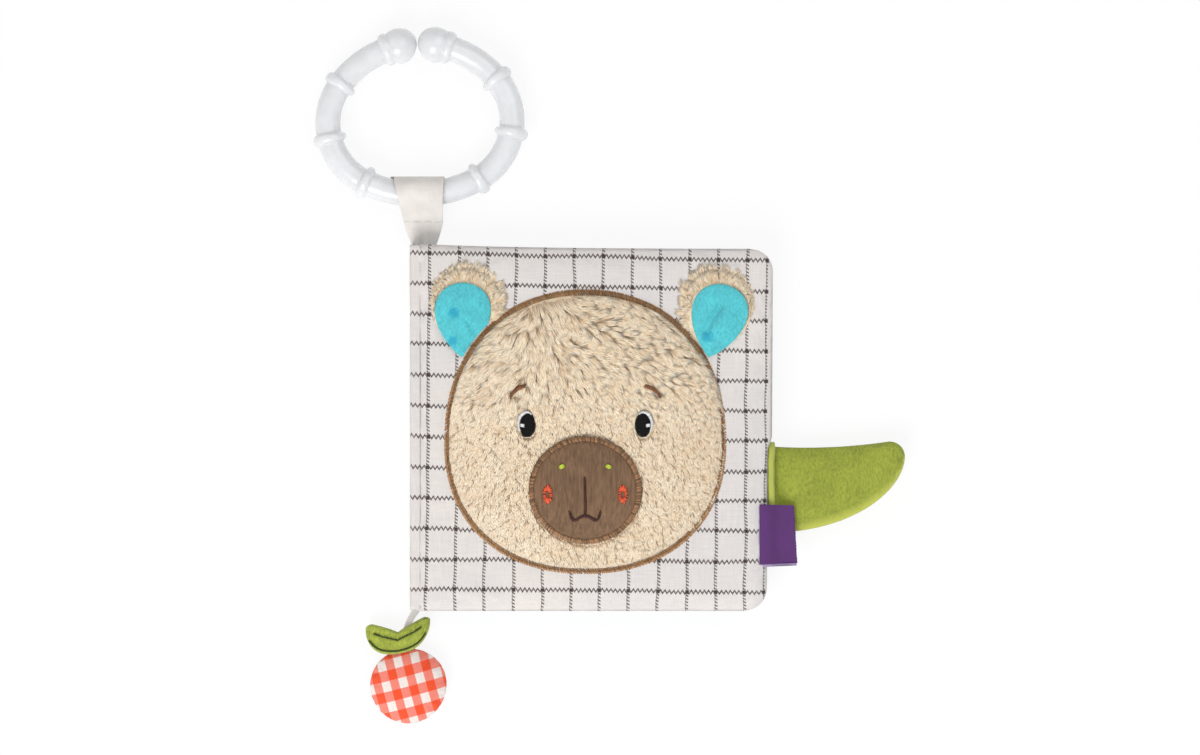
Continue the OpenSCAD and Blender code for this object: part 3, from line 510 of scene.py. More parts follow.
class Graph:
    """Short calls that add nodes to one tree and feed their sockets with numbers, colours or sockets."""

    def __init__(self, tree):
        self.tree = tree

    def feed(self, socket, value):
        """Links a socket, or gives it a value of its own."""
        if isinstance(value, bpy.types.NodeSocket):
            self.tree.links.new(value, socket)
        elif socket.type == "RGBA" and len(value) == 3:
            socket.default_value = (*value, 1.0)
        else:
            socket.default_value = value

    def add(self, kind, output=0, settings=None, **inputs):
        """Node of a kind with its settings and inputs; returns one of its outputs."""
        node = self.tree.nodes.new(kind)
        for name, value in (settings or {}).items():
            setattr(node, name, value)
        for name, value in inputs.items():
            self.feed(node.inputs[name.replace("_", " ")], value)
        return node.outputs[output]

    def math(self, operation, a, b=0.0, c=0.0):
        """One step of arithmetic on up to three values."""
        node = self.tree.nodes.new("ShaderNodeMath")
        node.operation = operation
        for socket, value in zip(node.inputs, (a, b, c)):
            self.feed(socket, value)
        return node.outputs[0]

    def plus(self, a, b):
        return self.math("ADD", a, b)

    def less(self, a, b):
        return self.math("SUBTRACT", a, b)

    def times(self, a, b):
        return self.math("MULTIPLY", a, b)

    def scaled(self, value, factor, offset):
        return self.math("MULTIPLY_ADD", value, factor, offset)

    def most(self, a, b):
        return self.math("MAXIMUM", a, b)

    def positive(self, value):
        return self.math("ABSOLUTE", value)

    def sine(self, value, rate):
        """Sine of a value times a rate."""
        return self.math("SINE", self.times(value, rate))

    def vector(self, operation, a, b=(0.0, 0.0, 0.0)):
        node = self.tree.nodes.new("ShaderNodeVectorMath")
        node.operation = operation
        self.feed(node.inputs[0], a)
        self.feed(node.inputs[1], b)
        return node.outputs[0]

    def mix(self, factor, a, b, blend="MIX"):
        """Mixture of two colours, from a at 0 to b at 1."""
        node = self.tree.nodes.new("ShaderNodeMix")
        node.data_type = "RGBA"
        node.blend_type = blend
        for number, value in ((0, factor), (6, a), (7, b)):
            self.feed(node.inputs[number], value)
        return node.outputs[2]

    def shaded(self, tint, shade):
        """Colour multiplied by a value."""
        grey = self.add("ShaderNodeCombineColor", Red=shade, Green=shade, Blue=shade)
        return self.mix(1.0, tint, grey, "MULTIPLY")

    def step(self, value, low, high, start=0.0, end=1.0):
        """Value that runs smoothly from start at low to end at high."""
        return self.add(
            "ShaderNodeMapRange", settings={"interpolation_type": "SMOOTHSTEP"},
            Value=value, From_Min=low, From_Max=high, To_Min=start, To_Max=end,
        )

    def noise(self, vector, scale, detail=2.0, roughness=0.5, output=0):
        return self.add(
            "ShaderNodeTexNoise", output, Vector=vector, Scale=scale, Detail=detail, Roughness=roughness
        )

    def place(self):
        """Place on the object, in metres."""
        return self.add("ShaderNodeTexCoord", "Object")

    def mark(self, name):
        """Value that the mesh gives its points under a name."""
        return self.add("ShaderNodeAttribute", "Fac", {"attribute_name": name})

    def split(self, vector):
        node = self.tree.nodes.new("ShaderNodeSeparateXYZ")
        self.feed(node.inputs[0], vector)
        return node.outputs


SOCKETS = {"Vector": "NodeSocketVector", "Color": "NodeSocketColor", "Value": "NodeSocketFloat"}


def shader_group(name, inputs, outputs, build):
    """Node group of that name, built once. build gets the graph and the inputs, and returns the outputs."""
    tree = bpy.data.node_groups.get(name)
    if tree is None:
        tree = bpy.data.node_groups.new(name, "ShaderNodeTree")
        for label, kind in inputs:
            tree.interface.new_socket(name=label, in_out="INPUT", socket_type=SOCKETS[kind])
        for label, kind in outputs:
            tree.interface.new_socket(name=label, in_out="OUTPUT", socket_type=SOCKETS[kind])
        entry = tree.nodes.new("NodeGroupInput")
        leave = tree.nodes.new("NodeGroupOutput")
        graph = Graph(tree)
        for label, value in build(graph, entry.outputs).items():
            graph.feed(leave.inputs[label], value)
    return tree


def place_group(graph, tree, **inputs):
    """Puts a group in a graph, feeds its inputs and returns its outputs."""
    node = graph.tree.nodes.new("ShaderNodeGroup")
    node.node_tree = tree
    for name, value in inputs.items():
        graph.feed(node.inputs[name.replace("_", " ")], value)
    return node.outputs


def new_finish(name, **constants):
    """Material whose Principled shader has the given values on its own sockets."""
    material = bpy.data.materials.new(name)
    material.use_nodes = True
    shader = material.node_tree.nodes["Principled BSDF"]
    graph = Graph(material.node_tree)
    for label, value in constants.items():
        graph.feed(shader.inputs[label.replace("_", " ")], value)
    return material, graph, shader.inputs


def raise_bump(graph, sockets, height, distance, strength=1.0):
    """Feeds the shader's normal from a height."""
    normal = graph.add("ShaderNodeBump", Strength=strength, Distance=distance, Height=height)
    graph.feed(sockets["Normal"], normal)


def weave_group():
    """Plain weave: over and under threads as the product of two sines, with thick and thin places, and
    painted shade where the threads lie low.
    """

    def build(g, i):
        spacing = g.add("ShaderNodeCombineXYZ", X=i["Spacing"], Y=i["Spacing"], Z=i["Spacing"])
        x, y, _ = g.split(g.vector("DIVIDE", i["Vector"], spacing))
        warp = g.sine(x, np.pi)
        weft = g.sine(y, np.pi)
        over = g.times(warp, weft)
        ridge = g.plus(g.positive(warp), g.positive(weft))
        height = g.scaled(over, 0.35, g.times(ridge, 0.5))
        lengthways = g.noise(g.vector("MULTIPLY", i["Vector"], (1, 0.06, 1)), 2600.0, 1.0)
        crossways = g.noise(g.vector("MULTIPLY", i["Vector"], (0.06, 1, 1)), 2600.0, 1.0)
        slub = g.plus(lengthways, crossways)
        tone = g.times(g.less(slub, 1.0), i["Slub"])
        # The colour is darker where the weave lies low and lighter on the threads' tops: painted shade and
        # highlight. The slub tone is the yarn's own.
        shade = g.plus(g.scaled(height, 0.10, 0.93), tone)
        return {"Color": g.shaded(i["Color"], shade), "Height": g.plus(height, tone)}

    inputs = [("Vector", "Vector"), ("Color", "Color"), ("Spacing", "Value"), ("Slub", "Value")]
    return shader_group("Woven cloth", inputs, [("Color", "Color"), ("Height", "Value")], build)


def nap_group():
    """Pile of velour: streaks drawn out along one direction, bent by slow swirls, with brushed patches."""

    def build(g, i):
        swirl = g.noise(i["Vector"], i["Swirl"], 1.0, output="Color")
        swirl = g.vector("SUBTRACT", swirl, (0.5, 0.5, 0.5))
        bent = g.vector("ADD", i["Vector"], g.vector("MULTIPLY", swirl, (0.006, 0.006, 0.006)))
        streak = g.noise(g.vector("MULTIPLY", bent, i["Stretch"]), i["Grain"], 3.0, 0.62)
        patch = g.noise(i["Vector"], i["Swirl"], 2.0)
        lift = g.times(g.less(streak, 0.5), 2.4)
        lift = g.plus(lift, g.times(g.less(patch, 0.5), 0.9))
        factor = g.add("ShaderNodeClamp", Value=g.plus(lift, 0.5))
        return {"Color": g.mix(factor, i["Dark"], i["Light"]), "Height": streak}

    inputs = [("Vector", "Vector"), ("Light", "Color"), ("Dark", "Color"), ("Grain", "Value"),
              ("Swirl", "Value"), ("Stretch", "Vector")]
    return shader_group("Velour pile", inputs, [("Color", "Color"), ("Height", "Value")], build)


def zigzag(g, along, across, period, reach, half_width):
    """Mask of a zigzag thread: the distance from a triangle wave, narrowed by the wave's slope."""
    phase = g.math("FRACT", g.math("DIVIDE", along, period))
    wave = g.scaled(g.positive(g.scaled(phase, 2.0, -1.0)), 2.0, -1.0)
    away = g.positive(g.less(across, g.times(wave, reach)))
    return g.step(away, half_width, half_width * 1.8, 1.0, 0.0)


def dashes(g, along, across, period, reach):
    """Mask of a row of short slanted dashes, joined on one side by a thin thread."""
    turn = g.math("FRACT", g.plus(g.math("DIVIDE", along, period), g.math("DIVIDE", across, 2.4 * MM)))
    dash = g.step(g.positive(g.less(turn, 0.5)), 0.17, 0.3, 1.0, 0.0)
    dash = g.times(dash, g.step(g.positive(across), reach, reach + 0.2 * MM, 1.0, 0.0))
    thread = g.step(g.positive(g.plus(across, reach * 0.7)), 0.08 * MM, 0.24 * MM, 0.7, 0.0)
    return g.most(dash, thread)


def nearest_line(g, value, spacing, first):
    """Signed distance from the nearest of evenly spaced lines."""
    turns = g.math("FRACT", g.plus(g.math("DIVIDE", g.less(value, first), spacing), 0.5))
    return g.times(g.less(turns, 0.5), spacing)


def check_group():
    """Windowpane check of stitched threads: level lines zigzag, upright lines are rows of short hooks, and
    the lines wander a little and lean as the cloth lies."""

    def build(g, i):
        x, y, _ = g.split(i["Vector"])
        wander = g.noise(i["Vector"], 55.0, 1.0, output="Color")
        wx, wy, _ = g.split(wander)
        u = g.plus(g.scaled(y, -0.0105, x), g.scaled(wx, 0.0018, -0.0009))
        lean = g.scaled(y, 0.136, 0.015)
        v = g.plus(g.scaled(x, lean, y), g.scaled(wy, 0.0018, -0.0009))
        across_y = nearest_line(g, v, i["Spacing Y"], i["First Y"])
        across_x = nearest_line(g, u, i["Spacing X"], i["First X"])
        edge = g.less(u, i["Edge"])
        level = zigzag(g, u, across_y, ZIGZAG_PERIOD, ZIGZAG_REACH, ZIGZAG_HALF)
        hooks = dashes(g, v, across_x, HOOK_PERIOD, HOOK_REACH)
        row = dashes(g, v, edge, HOOK_PERIOD, ROW_REACH)
        nearest = g.math("MINIMUM", g.positive(across_x), g.positive(edge))
        core_x = g.step(nearest, 0.5 * MM, 0.95 * MM, 1.0, 0.0)
        core_y = g.step(g.positive(across_y), 0.55 * MM, 1.0 * MM, 1.0, 0.0)
        knots = g.times(core_x, core_y)
        inside = g.step(edge, 0.1 * MM, 0.5 * MM, 1.0, 0.0)
        upright = g.most(g.times(hooks, inside), row)
        lines = g.most(g.times(level, inside), upright)
        worn = g.step(g.noise(i["Vector"], 2200.0, 1.0), 0.3, 0.55, 0.6, 0.95)
        lines = g.most(g.times(lines, worn), knots)
        return {"Mask": g.times(lines, i["Shown"])}

    inputs = [("Vector", "Vector"), ("Spacing X", "Value"), ("Spacing Y", "Value"), ("First X", "Value"),
              ("First Y", "Value"), ("Edge", "Value"), ("Shown", "Value")]
    return shader_group("Windowpane check", inputs, [("Mask", "Value")], build)


def cover_finish(settings):
    """Off-white cotton with a brown windowpane check on its outer side."""
    material, g, sockets = new_finish("Checked cotton", Roughness=0.85, Sheen_Weight=0.2)
    place = g.place()
    mask = place_group(
        g, check_group(), Vector=place, Spacing_X=settings.check_x, Spacing_Y=settings.check_y,
        First_X=CHECK_FIRST_X, First_Y=CHECK_FIRST_Y, Edge=CHECK_EDGE, Shown=g.mark("outside"),
    )["Mask"]
    cloth = place_group(
        g, weave_group(), Vector=place, Color=tuple(settings.cloth), Spacing=settings.weave, Slub=0.16
    )
    patch = g.noise(place, 26.0, 2.0)
    warmth = g.mix(g.step(patch, 0.35, 0.68), (1.0, 0.985, 0.97), (0.955, 0.955, 0.965))
    ground = g.mix(1.0, cloth["Color"], warmth, "MULTIPLY")
    g.feed(sockets["Base Color"], g.mix(mask, ground, tuple(settings.check)))
    raise_bump(g, sockets, g.scaled(mask, 1.4, cloth["Height"]), 0.12 * MM, 0.8)
    return material


def woven_finish(name, tint, spacing, slub=0.14, roughness=0.8, on_cloth=False, depth=0.1):
    """Plain woven cloth or ribbon in one colour."""
    material, g, sockets = new_finish(name, Roughness=roughness, Sheen_Weight=0.25)
    place = g.add("ShaderNodeUVMap", settings={"uv_map": "Cloth"}) if on_cloth else g.place()
    cloth = place_group(g, weave_group(), Vector=place, Color=tuple(tint), Spacing=spacing, Slub=slub)
    patch = g.step(g.noise(place, 90.0, 2.0), 0.3, 0.7, 0.92, 1.04)
    g.feed(sockets["Base Color"], g.shaded(cloth["Color"], patch))
    raise_bump(g, sockets, cloth["Height"], depth * MM, 0.8)
    return material


def velour_finish(
    name, tint, grain, swirl, stretch, sheen=0.4, contrast=0.28, depth=0.25, spots=(), rim=None
):
    """Short pile in one colour, lighter and darker where it is brushed, with round spots if any, and a
    lighter rim where a rim colour is given, which is a painted highlight.
    """
    material, g, sockets = new_finish(name, Roughness=0.9, Sheen_Weight=sheen, Sheen_Roughness=0.4)
    tint = np.array(tint)
    place = g.place()
    pile = place_group(
        g, nap_group(), Vector=place, Light=tuple(tint * (1 + contrast)), Dark=tuple(tint * (1 - contrast)),
        Grain=grain, Swirl=swirl, Stretch=stretch,
    )
    shade = pile["Color"]
    for centre, radius, spot in spots:
        away = g.add("ShaderNodeVectorMath", "Value", {"operation": "LENGTH"},
                     Vector=g.vector("MULTIPLY", g.vector("SUBTRACT", place, centre), (1, 1, 0)))
        blur = g.scaled(g.noise(place, 700.0, 3.0), 3.2 * MM, -1.6 * MM)
        shade = g.mix(g.step(g.plus(away, blur), radius * 0.5, radius * 1.35, 0.8, 0.0), shade, spot)
    # The rim colour mixed in where the mesh marks its rim is a painted highlight, not a colour of the pile.
    if rim:
        shade = g.mix(g.mark("rim"), shade, g.mix(g.times(pile["Height"], 0.5), rim, shade))
    g.feed(sockets["Base Color"], shade)
    raise_bump(g, sockets, pile["Height"], depth * MM, 0.9)
    return material


def fur_finish(settings):
    """Plush pile: cream at the tips, darkening to tan near the cloth as painted shade in the pile, each tuft
    with a tone of its own.
    """
    material, g, sockets = new_finish("Beige plush", Roughness=0.85, Sheen_Weight=0.35, Sheen_Roughness=0.5)
    patch = g.scaled(g.noise(g.place(), 120.0, 2.0), 0.5, -0.25)
    reach = g.plus(g.math("POWER", g.mark("along"), 0.8), patch)
    reach = g.scaled(g.mark("tone"), 0.7, g.plus(reach, -0.35))
    reach = g.add("ShaderNodeClamp", Value=reach)
    # The colour darkens from the tip colour towards the root colour near the cloth: painted shade in the
    # pile.
    g.feed(sockets["Base Color"], g.mix(reach, tuple(settings.fur_root_shade), tuple(settings.fur_tip)))
    return material


def pad_finish(settings):
    """Cloth under the fur: the roots' colour, blotched with the tips' as the pile stands and lies."""
    material, g, sockets = new_finish("Plush ground", Roughness=0.95, Sheen_Weight=0.3)
    place = g.place()
    pile = place_group(
        g, nap_group(), Vector=place, Light=tuple(settings.fur_tip), Dark=srgb(232, 204, 164),
        Grain=1500.0, Swirl=90.0, Stretch=(1.0, 0.35, 1.0),
    )
    g.feed(sockets["Base Color"], pile["Color"])
    raise_bump(g, sockets, pile["Height"], 0.5 * MM)
    return material


def thread_finish(name, tint, gloss=0.35, contrast=0.3):
    """Embroidery thread: a tone of its own for each thread, and a fine twist along it."""
    material, g, sockets = new_finish(name, Roughness=gloss, Specular_IOR_Level=0.3)
    tint = np.array(tint)
    twist = g.noise(g.place(), 3800.0, 1.0)
    tone = g.scaled(g.mark("tone"), 0.75, g.times(twist, 0.25))
    bright = tuple(np.minimum(tint * (1 + contrast), 1.0))
    g.feed(sockets["Base Color"], g.mix(tone, tuple(tint * (1 - contrast)), bright))
    raise_bump(g, sockets, twist, 0.05 * MM)
    return material


def plastic_finish(settings):
    """Milky plastic: light goes into it, and it has a soft gloss with faint flow marks."""
    material, g, sockets = new_finish(
        "Milky plastic", Roughness=0.22, Subsurface_Weight=0.6, Subsurface_Scale=6 * MM,
        Subsurface_Radius=(1.0, 0.98, 0.95), Coat_Weight=0.3, Coat_Roughness=0.1, IOR=1.49,
    )
    cloud = g.noise(g.place(), 160.0, 3.0)
    milk = np.array(settings.plastic)
    g.feed(sockets["Base Color"], g.mix(g.step(cloud, 0.3, 0.7), tuple(milk * 0.95), tuple(milk)))
    raise_bump(g, sockets, g.noise(g.place(), 420.0, 2.0), 0.05 * MM, 0.35)
    return material


def gingham_finish(settings):
    """Gingham: bands of dyed thread both ways, half tones where dyed and pale threads cross."""
    material, g, sockets = new_finish("Gingham cotton", Roughness=0.8, Sheen_Weight=0.25)
    thread = 0.28 * MM
    laid = g.add(
        "ShaderNodeMapping", settings={"vector_type": "TEXTURE"}, Vector=g.place(),
        Location=(FRUIT_MIDDLE[0] - 0.61 * MM, FRUIT_MIDDLE[1] + 4.03 * MM, 0.0),
        Rotation=(0.0, 0.0, np.radians(15.0)),
    )
    x, y, _ = g.split(laid)
    bands = [
        g.step(g.sine(way, np.pi / cell), -0.06, 0.06)
        for way, cell in ((x, settings.fruit_cell), (y, settings.fruit_cell * 1.19))
    ]
    dyed = g.math("POWER", g.times(g.plus(bands[0], bands[1]), 0.5), 0.36)
    fine = g.times(g.sine(x, np.pi / thread), g.sine(y, np.pi / thread))
    half = g.less(1.0, g.positive(g.scaled(dyed, 2.0, -1.0)))
    dyed = g.add("ShaderNodeClamp", Value=g.scaled(g.times(half, fine), 0.22, dyed))
    tint = g.mix(dyed, tuple(settings.fruit_pale), tuple(settings.fruit_deep))
    cloth = place_group(g, weave_group(), Vector=laid, Color=tint, Spacing=thread, Slub=0.16)
    g.feed(sockets["Base Color"], cloth["Color"])
    raise_bump(g, sockets, cloth["Height"], 0.1 * MM, 0.8)
    return material


# Covers, pages and spine


def panel_grid(low, high, slant, corner, spine_corner, rows=84, columns=84):
    """Grid over a panel with rounded corners: each row runs from the left to the right outline at its
    height, rows and columns lie closer together towards the edges, and the upper edge sags as
    1 - e^(-x/40 mm). Also the distance to the edge."""
    ease = np.linspace(-1, 1, rows)
    v = 0.55 * ease + 0.45 * np.sin(ease * np.pi / 2)
    half = (high[1] - low[1]) / 2
    y = (high[1] + low[1]) / 2 + half * v

    def bite(radius):
        deep = np.clip(np.abs(half * v) - (half - radius), 0, radius)
        return radius - np.sqrt(np.maximum(radius**2 - deep**2, 0))

    below = np.clip((-3 * MM - y) / (6 * MM), 0, 1)
    lean = slant * (0.7 * below * below * (3 - 2 * below) + 0.15 * (1 - v))
    left = low[0] + bite(spine_corner)
    right = high[0] - bite(corner) - lean
    s = (0.55 * np.linspace(-1, 1, columns) + 0.45 * np.sin(np.linspace(-1, 1, columns) * np.pi / 2) + 1) / 2
    x = left[:, None] + (right - left)[:, None] * s
    droop = (2.1 - 2.1 * np.exp((low[0] - x) / (40 * MM)) - 0.4) * MM
    y = y[:, None] - droop * ((1 + v[:, None]) / 2) ** 3
    edge = np.minimum(np.minimum(x - left[:, None], right[:, None] - x), half - np.abs(half * v)[:, None])
    return x, y, edge


def padded_panel(low, high, slant, seed, soft=1.1 * MM, corner=CORNER_R):
    """Stuffed panel: from its seam at mid height each face rises as 1 - e^(-d/soft) with the distance d
    from the edge, with shallow waves where the stuffing is uneven."""
    x, y, edge = panel_grid(low, high, slant, corner, SPINE_CORNER_R)
    half = (high[2] - low[2]) / 2
    middle = (high[2] + low[2]) / 2
    rise = half * (1 - np.exp(-edge / soft))
    inner = np.clip(edge / (6 * MM), 0, 1)
    near = np.exp(-edge / (7 * MM)) * inner
    uneven = 0.12 * MM * waves(x, y, 26 * MM, seed) * inner
    puckers = 0.3 * MM * waves(x, y, 9 * MM, seed + 1) * near
    return pillow(x, y, middle + rise + np.minimum(uneven + puckers, 0.2 * MM), middle - rise), x.shape


def add_cover(name, node, body, slant, outer, settings, seed):
    """One cover: a padded panel whose cloth a simulation lifts off its flat shape. The check shows on the
    side that faces up at outer 1 and down at -1."""
    low, high = node_box(node)
    (points, faces), shape = padded_panel(low, high, slant, seed)
    count = shape[0] * shape[1]
    outside = (np.arange(len(points)) < count).astype(float)
    if outer < 0:
        points[:, 2] = low[2] + high[2] - points[:, 2]
        faces = [part[:, ::-1] for part in faces]
    cover = add_piece(name, (points, faces), cover_finish(settings), body, [node],
                      {"outside": outside})
    rim = np.zeros(shape, bool)
    rim[[0, -1]] = True
    rim[:, [0, -1]] = True
    inflate(cover, np.nonzero(rim.ravel())[0], 1.2, settings.pucker)


def add_pages(settings):
    """Block of two cloth leaves, each a thin padded panel, in one piece."""
    leaves = 2
    step = (PAGES_HIGH[2] - PAGES_LOW[2]) / leaves
    points, faces, start = [], [], 0
    for k in range(leaves):
        low, high = PAGES_LOW.copy(), PAGES_HIGH.copy()
        low[2], high[2] = PAGES_LOW[2] + k * step + 0.1 * MM, PAGES_LOW[2] + (k + 1) * step - 0.1 * MM
        (p, f), _ = padded_panel(low, high, FORE_EDGE_SLANT / 2, 40 + k, 0.8 * MM, CORNER_R - 1.2 * MM)
        points.append(p)
        faces += [part + start for part in f]
        start += len(p)
    cloth = woven_finish("Page cotton", settings.pages, settings.weave)
    block = add_piece("page_block", (np.concatenate(points), faces), cloth, "pages", ["pages"])


def bent_sheet(profile, ends, thickness, seed, stations=90):
    """Sheet whose section in x and z is profile, carried from end to end along y, with faint waves."""
    profile = np.array(profile)
    fine = np.linspace(0, 1, 25)
    line = smoothed(sampled(profile, np.linspace(0, 1, len(profile)), fine), 3)
    along = unit(np.gradient(line, axis=0))
    normal = np.stack([along[:, 1], -along[:, 0]], -1)
    y = np.linspace(ends[0], ends[1], stations)
    ripple = 0.1 * MM * waves(y[:, None], line[:, 1] * np.ones((stations, 1)), 8 * MM, seed)
    rings = []
    for side, order in ((1, slice(None)), (-1, slice(None, None, -1))):
        xz = line[None, :] + normal[None, :] * (side * thickness / 2 + ripple[..., None])
        grid = np.stack([xz[..., 0], y[:, None] * np.ones(len(fine)), xz[..., 1]], -1)
        rings.append(grid[:, order])
    return lofted(np.concatenate(rings, 1))


def add_spine(settings):
    """Spine cloth in two lengths: one folds between the back cover and the pages, and one between the
    pages and the front cover."""
    out = SPINE_LOW[0] + 0.4 * MM
    inner = SPINE_HIGH[0] + 0.25 * MM
    ends = (SPINE_LOW[1] - 1.4 * MM, SPINE_HIGH[1] + 1.9 * MM)
    split = 0.75 * COVER_TOP
    cloth = woven_finish("Spine cotton", settings.cloth, settings.weave)
    lower = [(inner, 1.0 * MM), (out + 0.2 * MM, 1.5 * MM), (out, 3 * MM), (out, MIDDLE_Z), (out, split)]
    upper = [(out, split), (out, COVER_TOP - 1.9 * MM), (out + 0.35 * MM, COVER_TOP - 0.7 * MM),
             (out + 1.1 * MM, COVER_TOP + 0.05 * MM), (COVER_LOW[0] + 2.6 * MM, COVER_TOP - 0.35 * MM)]
    back = add_piece("spine_back_fold", bent_sheet(lower, ends, 0.9 * MM, 51), cloth,
                     nodes=["spine_lower"])
    sheet = bent_sheet(upper, ends, 0.4 * MM, 52)
    front = add_piece("spine_front_fold", sheet, cover_finish(settings), nodes=["spine_upper"],
                      marks={"outside": np.ones(len(sheet[0]))})
    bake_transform(back)
    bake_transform(front)


# Plush head, ears and muzzle


def scattered(low, high, spacing, rng):
    """Points on a square grid between two corners, each moved at random within its cell."""
    count = np.ceil((np.array(high) - low) / spacing).astype(int)
    grid = np.stack(np.meshgrid(np.arange(count[0]), np.arange(count[1])), -1).reshape(-1, 2)
    return np.array(low) + (grid + rng.random(grid.shape)) * spacing


def gather_locks(points, low, high, spacing, rng):
    """For each point the middle of the nearest lock, and that lock's number. Locks lie on a coarse grid,
    each moved at random within its cell, so only the nine cells round a point are compared."""
    count = np.ceil((np.array(high) - low) / spacing).astype(int) + 1
    cells = np.stack(np.meshgrid(np.arange(count[0]), np.arange(count[1])), -1)
    locks = np.array(low) + (cells + rng.random(cells.shape)) * spacing
    here = np.floor((points - low) / spacing).astype(int)
    steps = np.stack(np.meshgrid((-1, 0, 1), (-1, 0, 1)), -1).reshape(-1, 2)
    near = np.clip(here[:, None] + steps, 0, count - 1)
    middles = locks[near[..., 1], near[..., 0]]
    best = np.argmin(np.linalg.norm(middles - points[:, None], axis=-1), axis=1)
    row = np.arange(len(points))
    number = near[row, best, 1] * count[0] + near[row, best, 0]
    return middles[row, best], number


def combed(points, flow, length, lift, pull, ground, width, rng, low, high, spacing):
    """Tufts on a ground. Each tuft follows the flow of its lock, and its tip is drawn to the lock's tip.
    Lengths and lifts vary from lock to lock, and the middle of a tuft stands higher than its tip."""
    middles, number = gather_locks(points, low, high, spacing, rng)
    total = number.max() + 1
    lock_length = rng.uniform(0.7, 1.1, total)[number]
    lock_lift = rng.uniform(0.65, 1.15, total)[number]
    lock_turn = rng.normal(0, 0.22, total)[number]
    angle = flow(middles[:, 0], middles[:, 1]) + lock_turn
    lock_tip = middles + heading(angle) * (length * lock_length)[:, None]
    own = angle + rng.normal(0, 0.16, len(points))
    reach = length * lock_length * rng.uniform(0.75, 1.05, len(points))
    ahead = heading(own)
    tip = points + ahead * reach[:, None]
    tip = tip + (lock_tip - tip) * np.broadcast_to(pull, len(points))[:, None]
    waist = points + (tip - points) * 0.45 + ahead * (reach * 0.06)[:, None]
    raised = lift * lock_lift * rng.uniform(0.8, 1.2, len(points))
    root3 = np.column_stack([points, ground(points[:, 0], points[:, 1]) - 0.25 * MM])
    waist3 = np.column_stack([waist, ground(waist[:, 0], waist[:, 1]) + raised])
    tip3 = np.column_stack([tip, ground(tip[:, 0], tip[:, 1]) + raised * 0.75])
    across = unit(np.cross(UP, tip3 - root3))
    return root3, waist3, tip3, across, width * rng.uniform(0.75, 1.25, len(points))


def add_fur(name, parts, material, rng):
    """Fur piece: tufts with how far along the tuft a point lies, and a tone for each tuft."""
    n = len(parts[0])
    along = np.tile([0, 0, 0, 0.55, 0.55, 0.55, 1.0], n)
    tone = np.repeat(rng.random(n), 7)
    add_piece(name, tufts(*parts), material, "front", marks={"along": along, "tone": tone})


def in_oval(x, y, centre, half):
    """Whether points lie inside an oval."""
    return ((x - centre[0]) / half[0]) ** 2 + ((y - centre[1]) / half[1]) ** 2 < 1


def bare_places():
    """Ovals of the plush that embroidery covers: the eyes with their light, and the brows."""
    places = []
    for node, grow in (("eye_left", 0.1), ("eye_right", 0.1), ("eye_left_white", 0.1),
                       ("eye_right_white", 0.1), ("brow_left", -0.3), ("brow_right", -0.3)):
        centre, half = node_oval(node)
        places.append((centre, half + grow * MM))
    return places


def head_flow(x, y):
    """Direction in which the head's fur lies: out to both sides and down, swirling over the forehead."""
    u = (x - HEAD_MIDDLE[0]) / HEAD_HALF[0]
    v = (y - HEAD_MIDDLE[1]) / HEAD_HALF[1]
    high = np.clip((v - 0.1) / 0.5, 0, 1)
    right = np.tanh(2.2 * (u + 0.35)) * (0.5 + 0.9 * high) + 0.12 * waves(x, y, 14 * MM, 22)
    down = -1.0 + 0.62 * high + (0.12 + 0.5 * high) * waves(x, y, 15 * MM, 23)
    down = np.where(right < 0.5, np.minimum(down, -0.3), down)
    return np.arctan2(down, right)


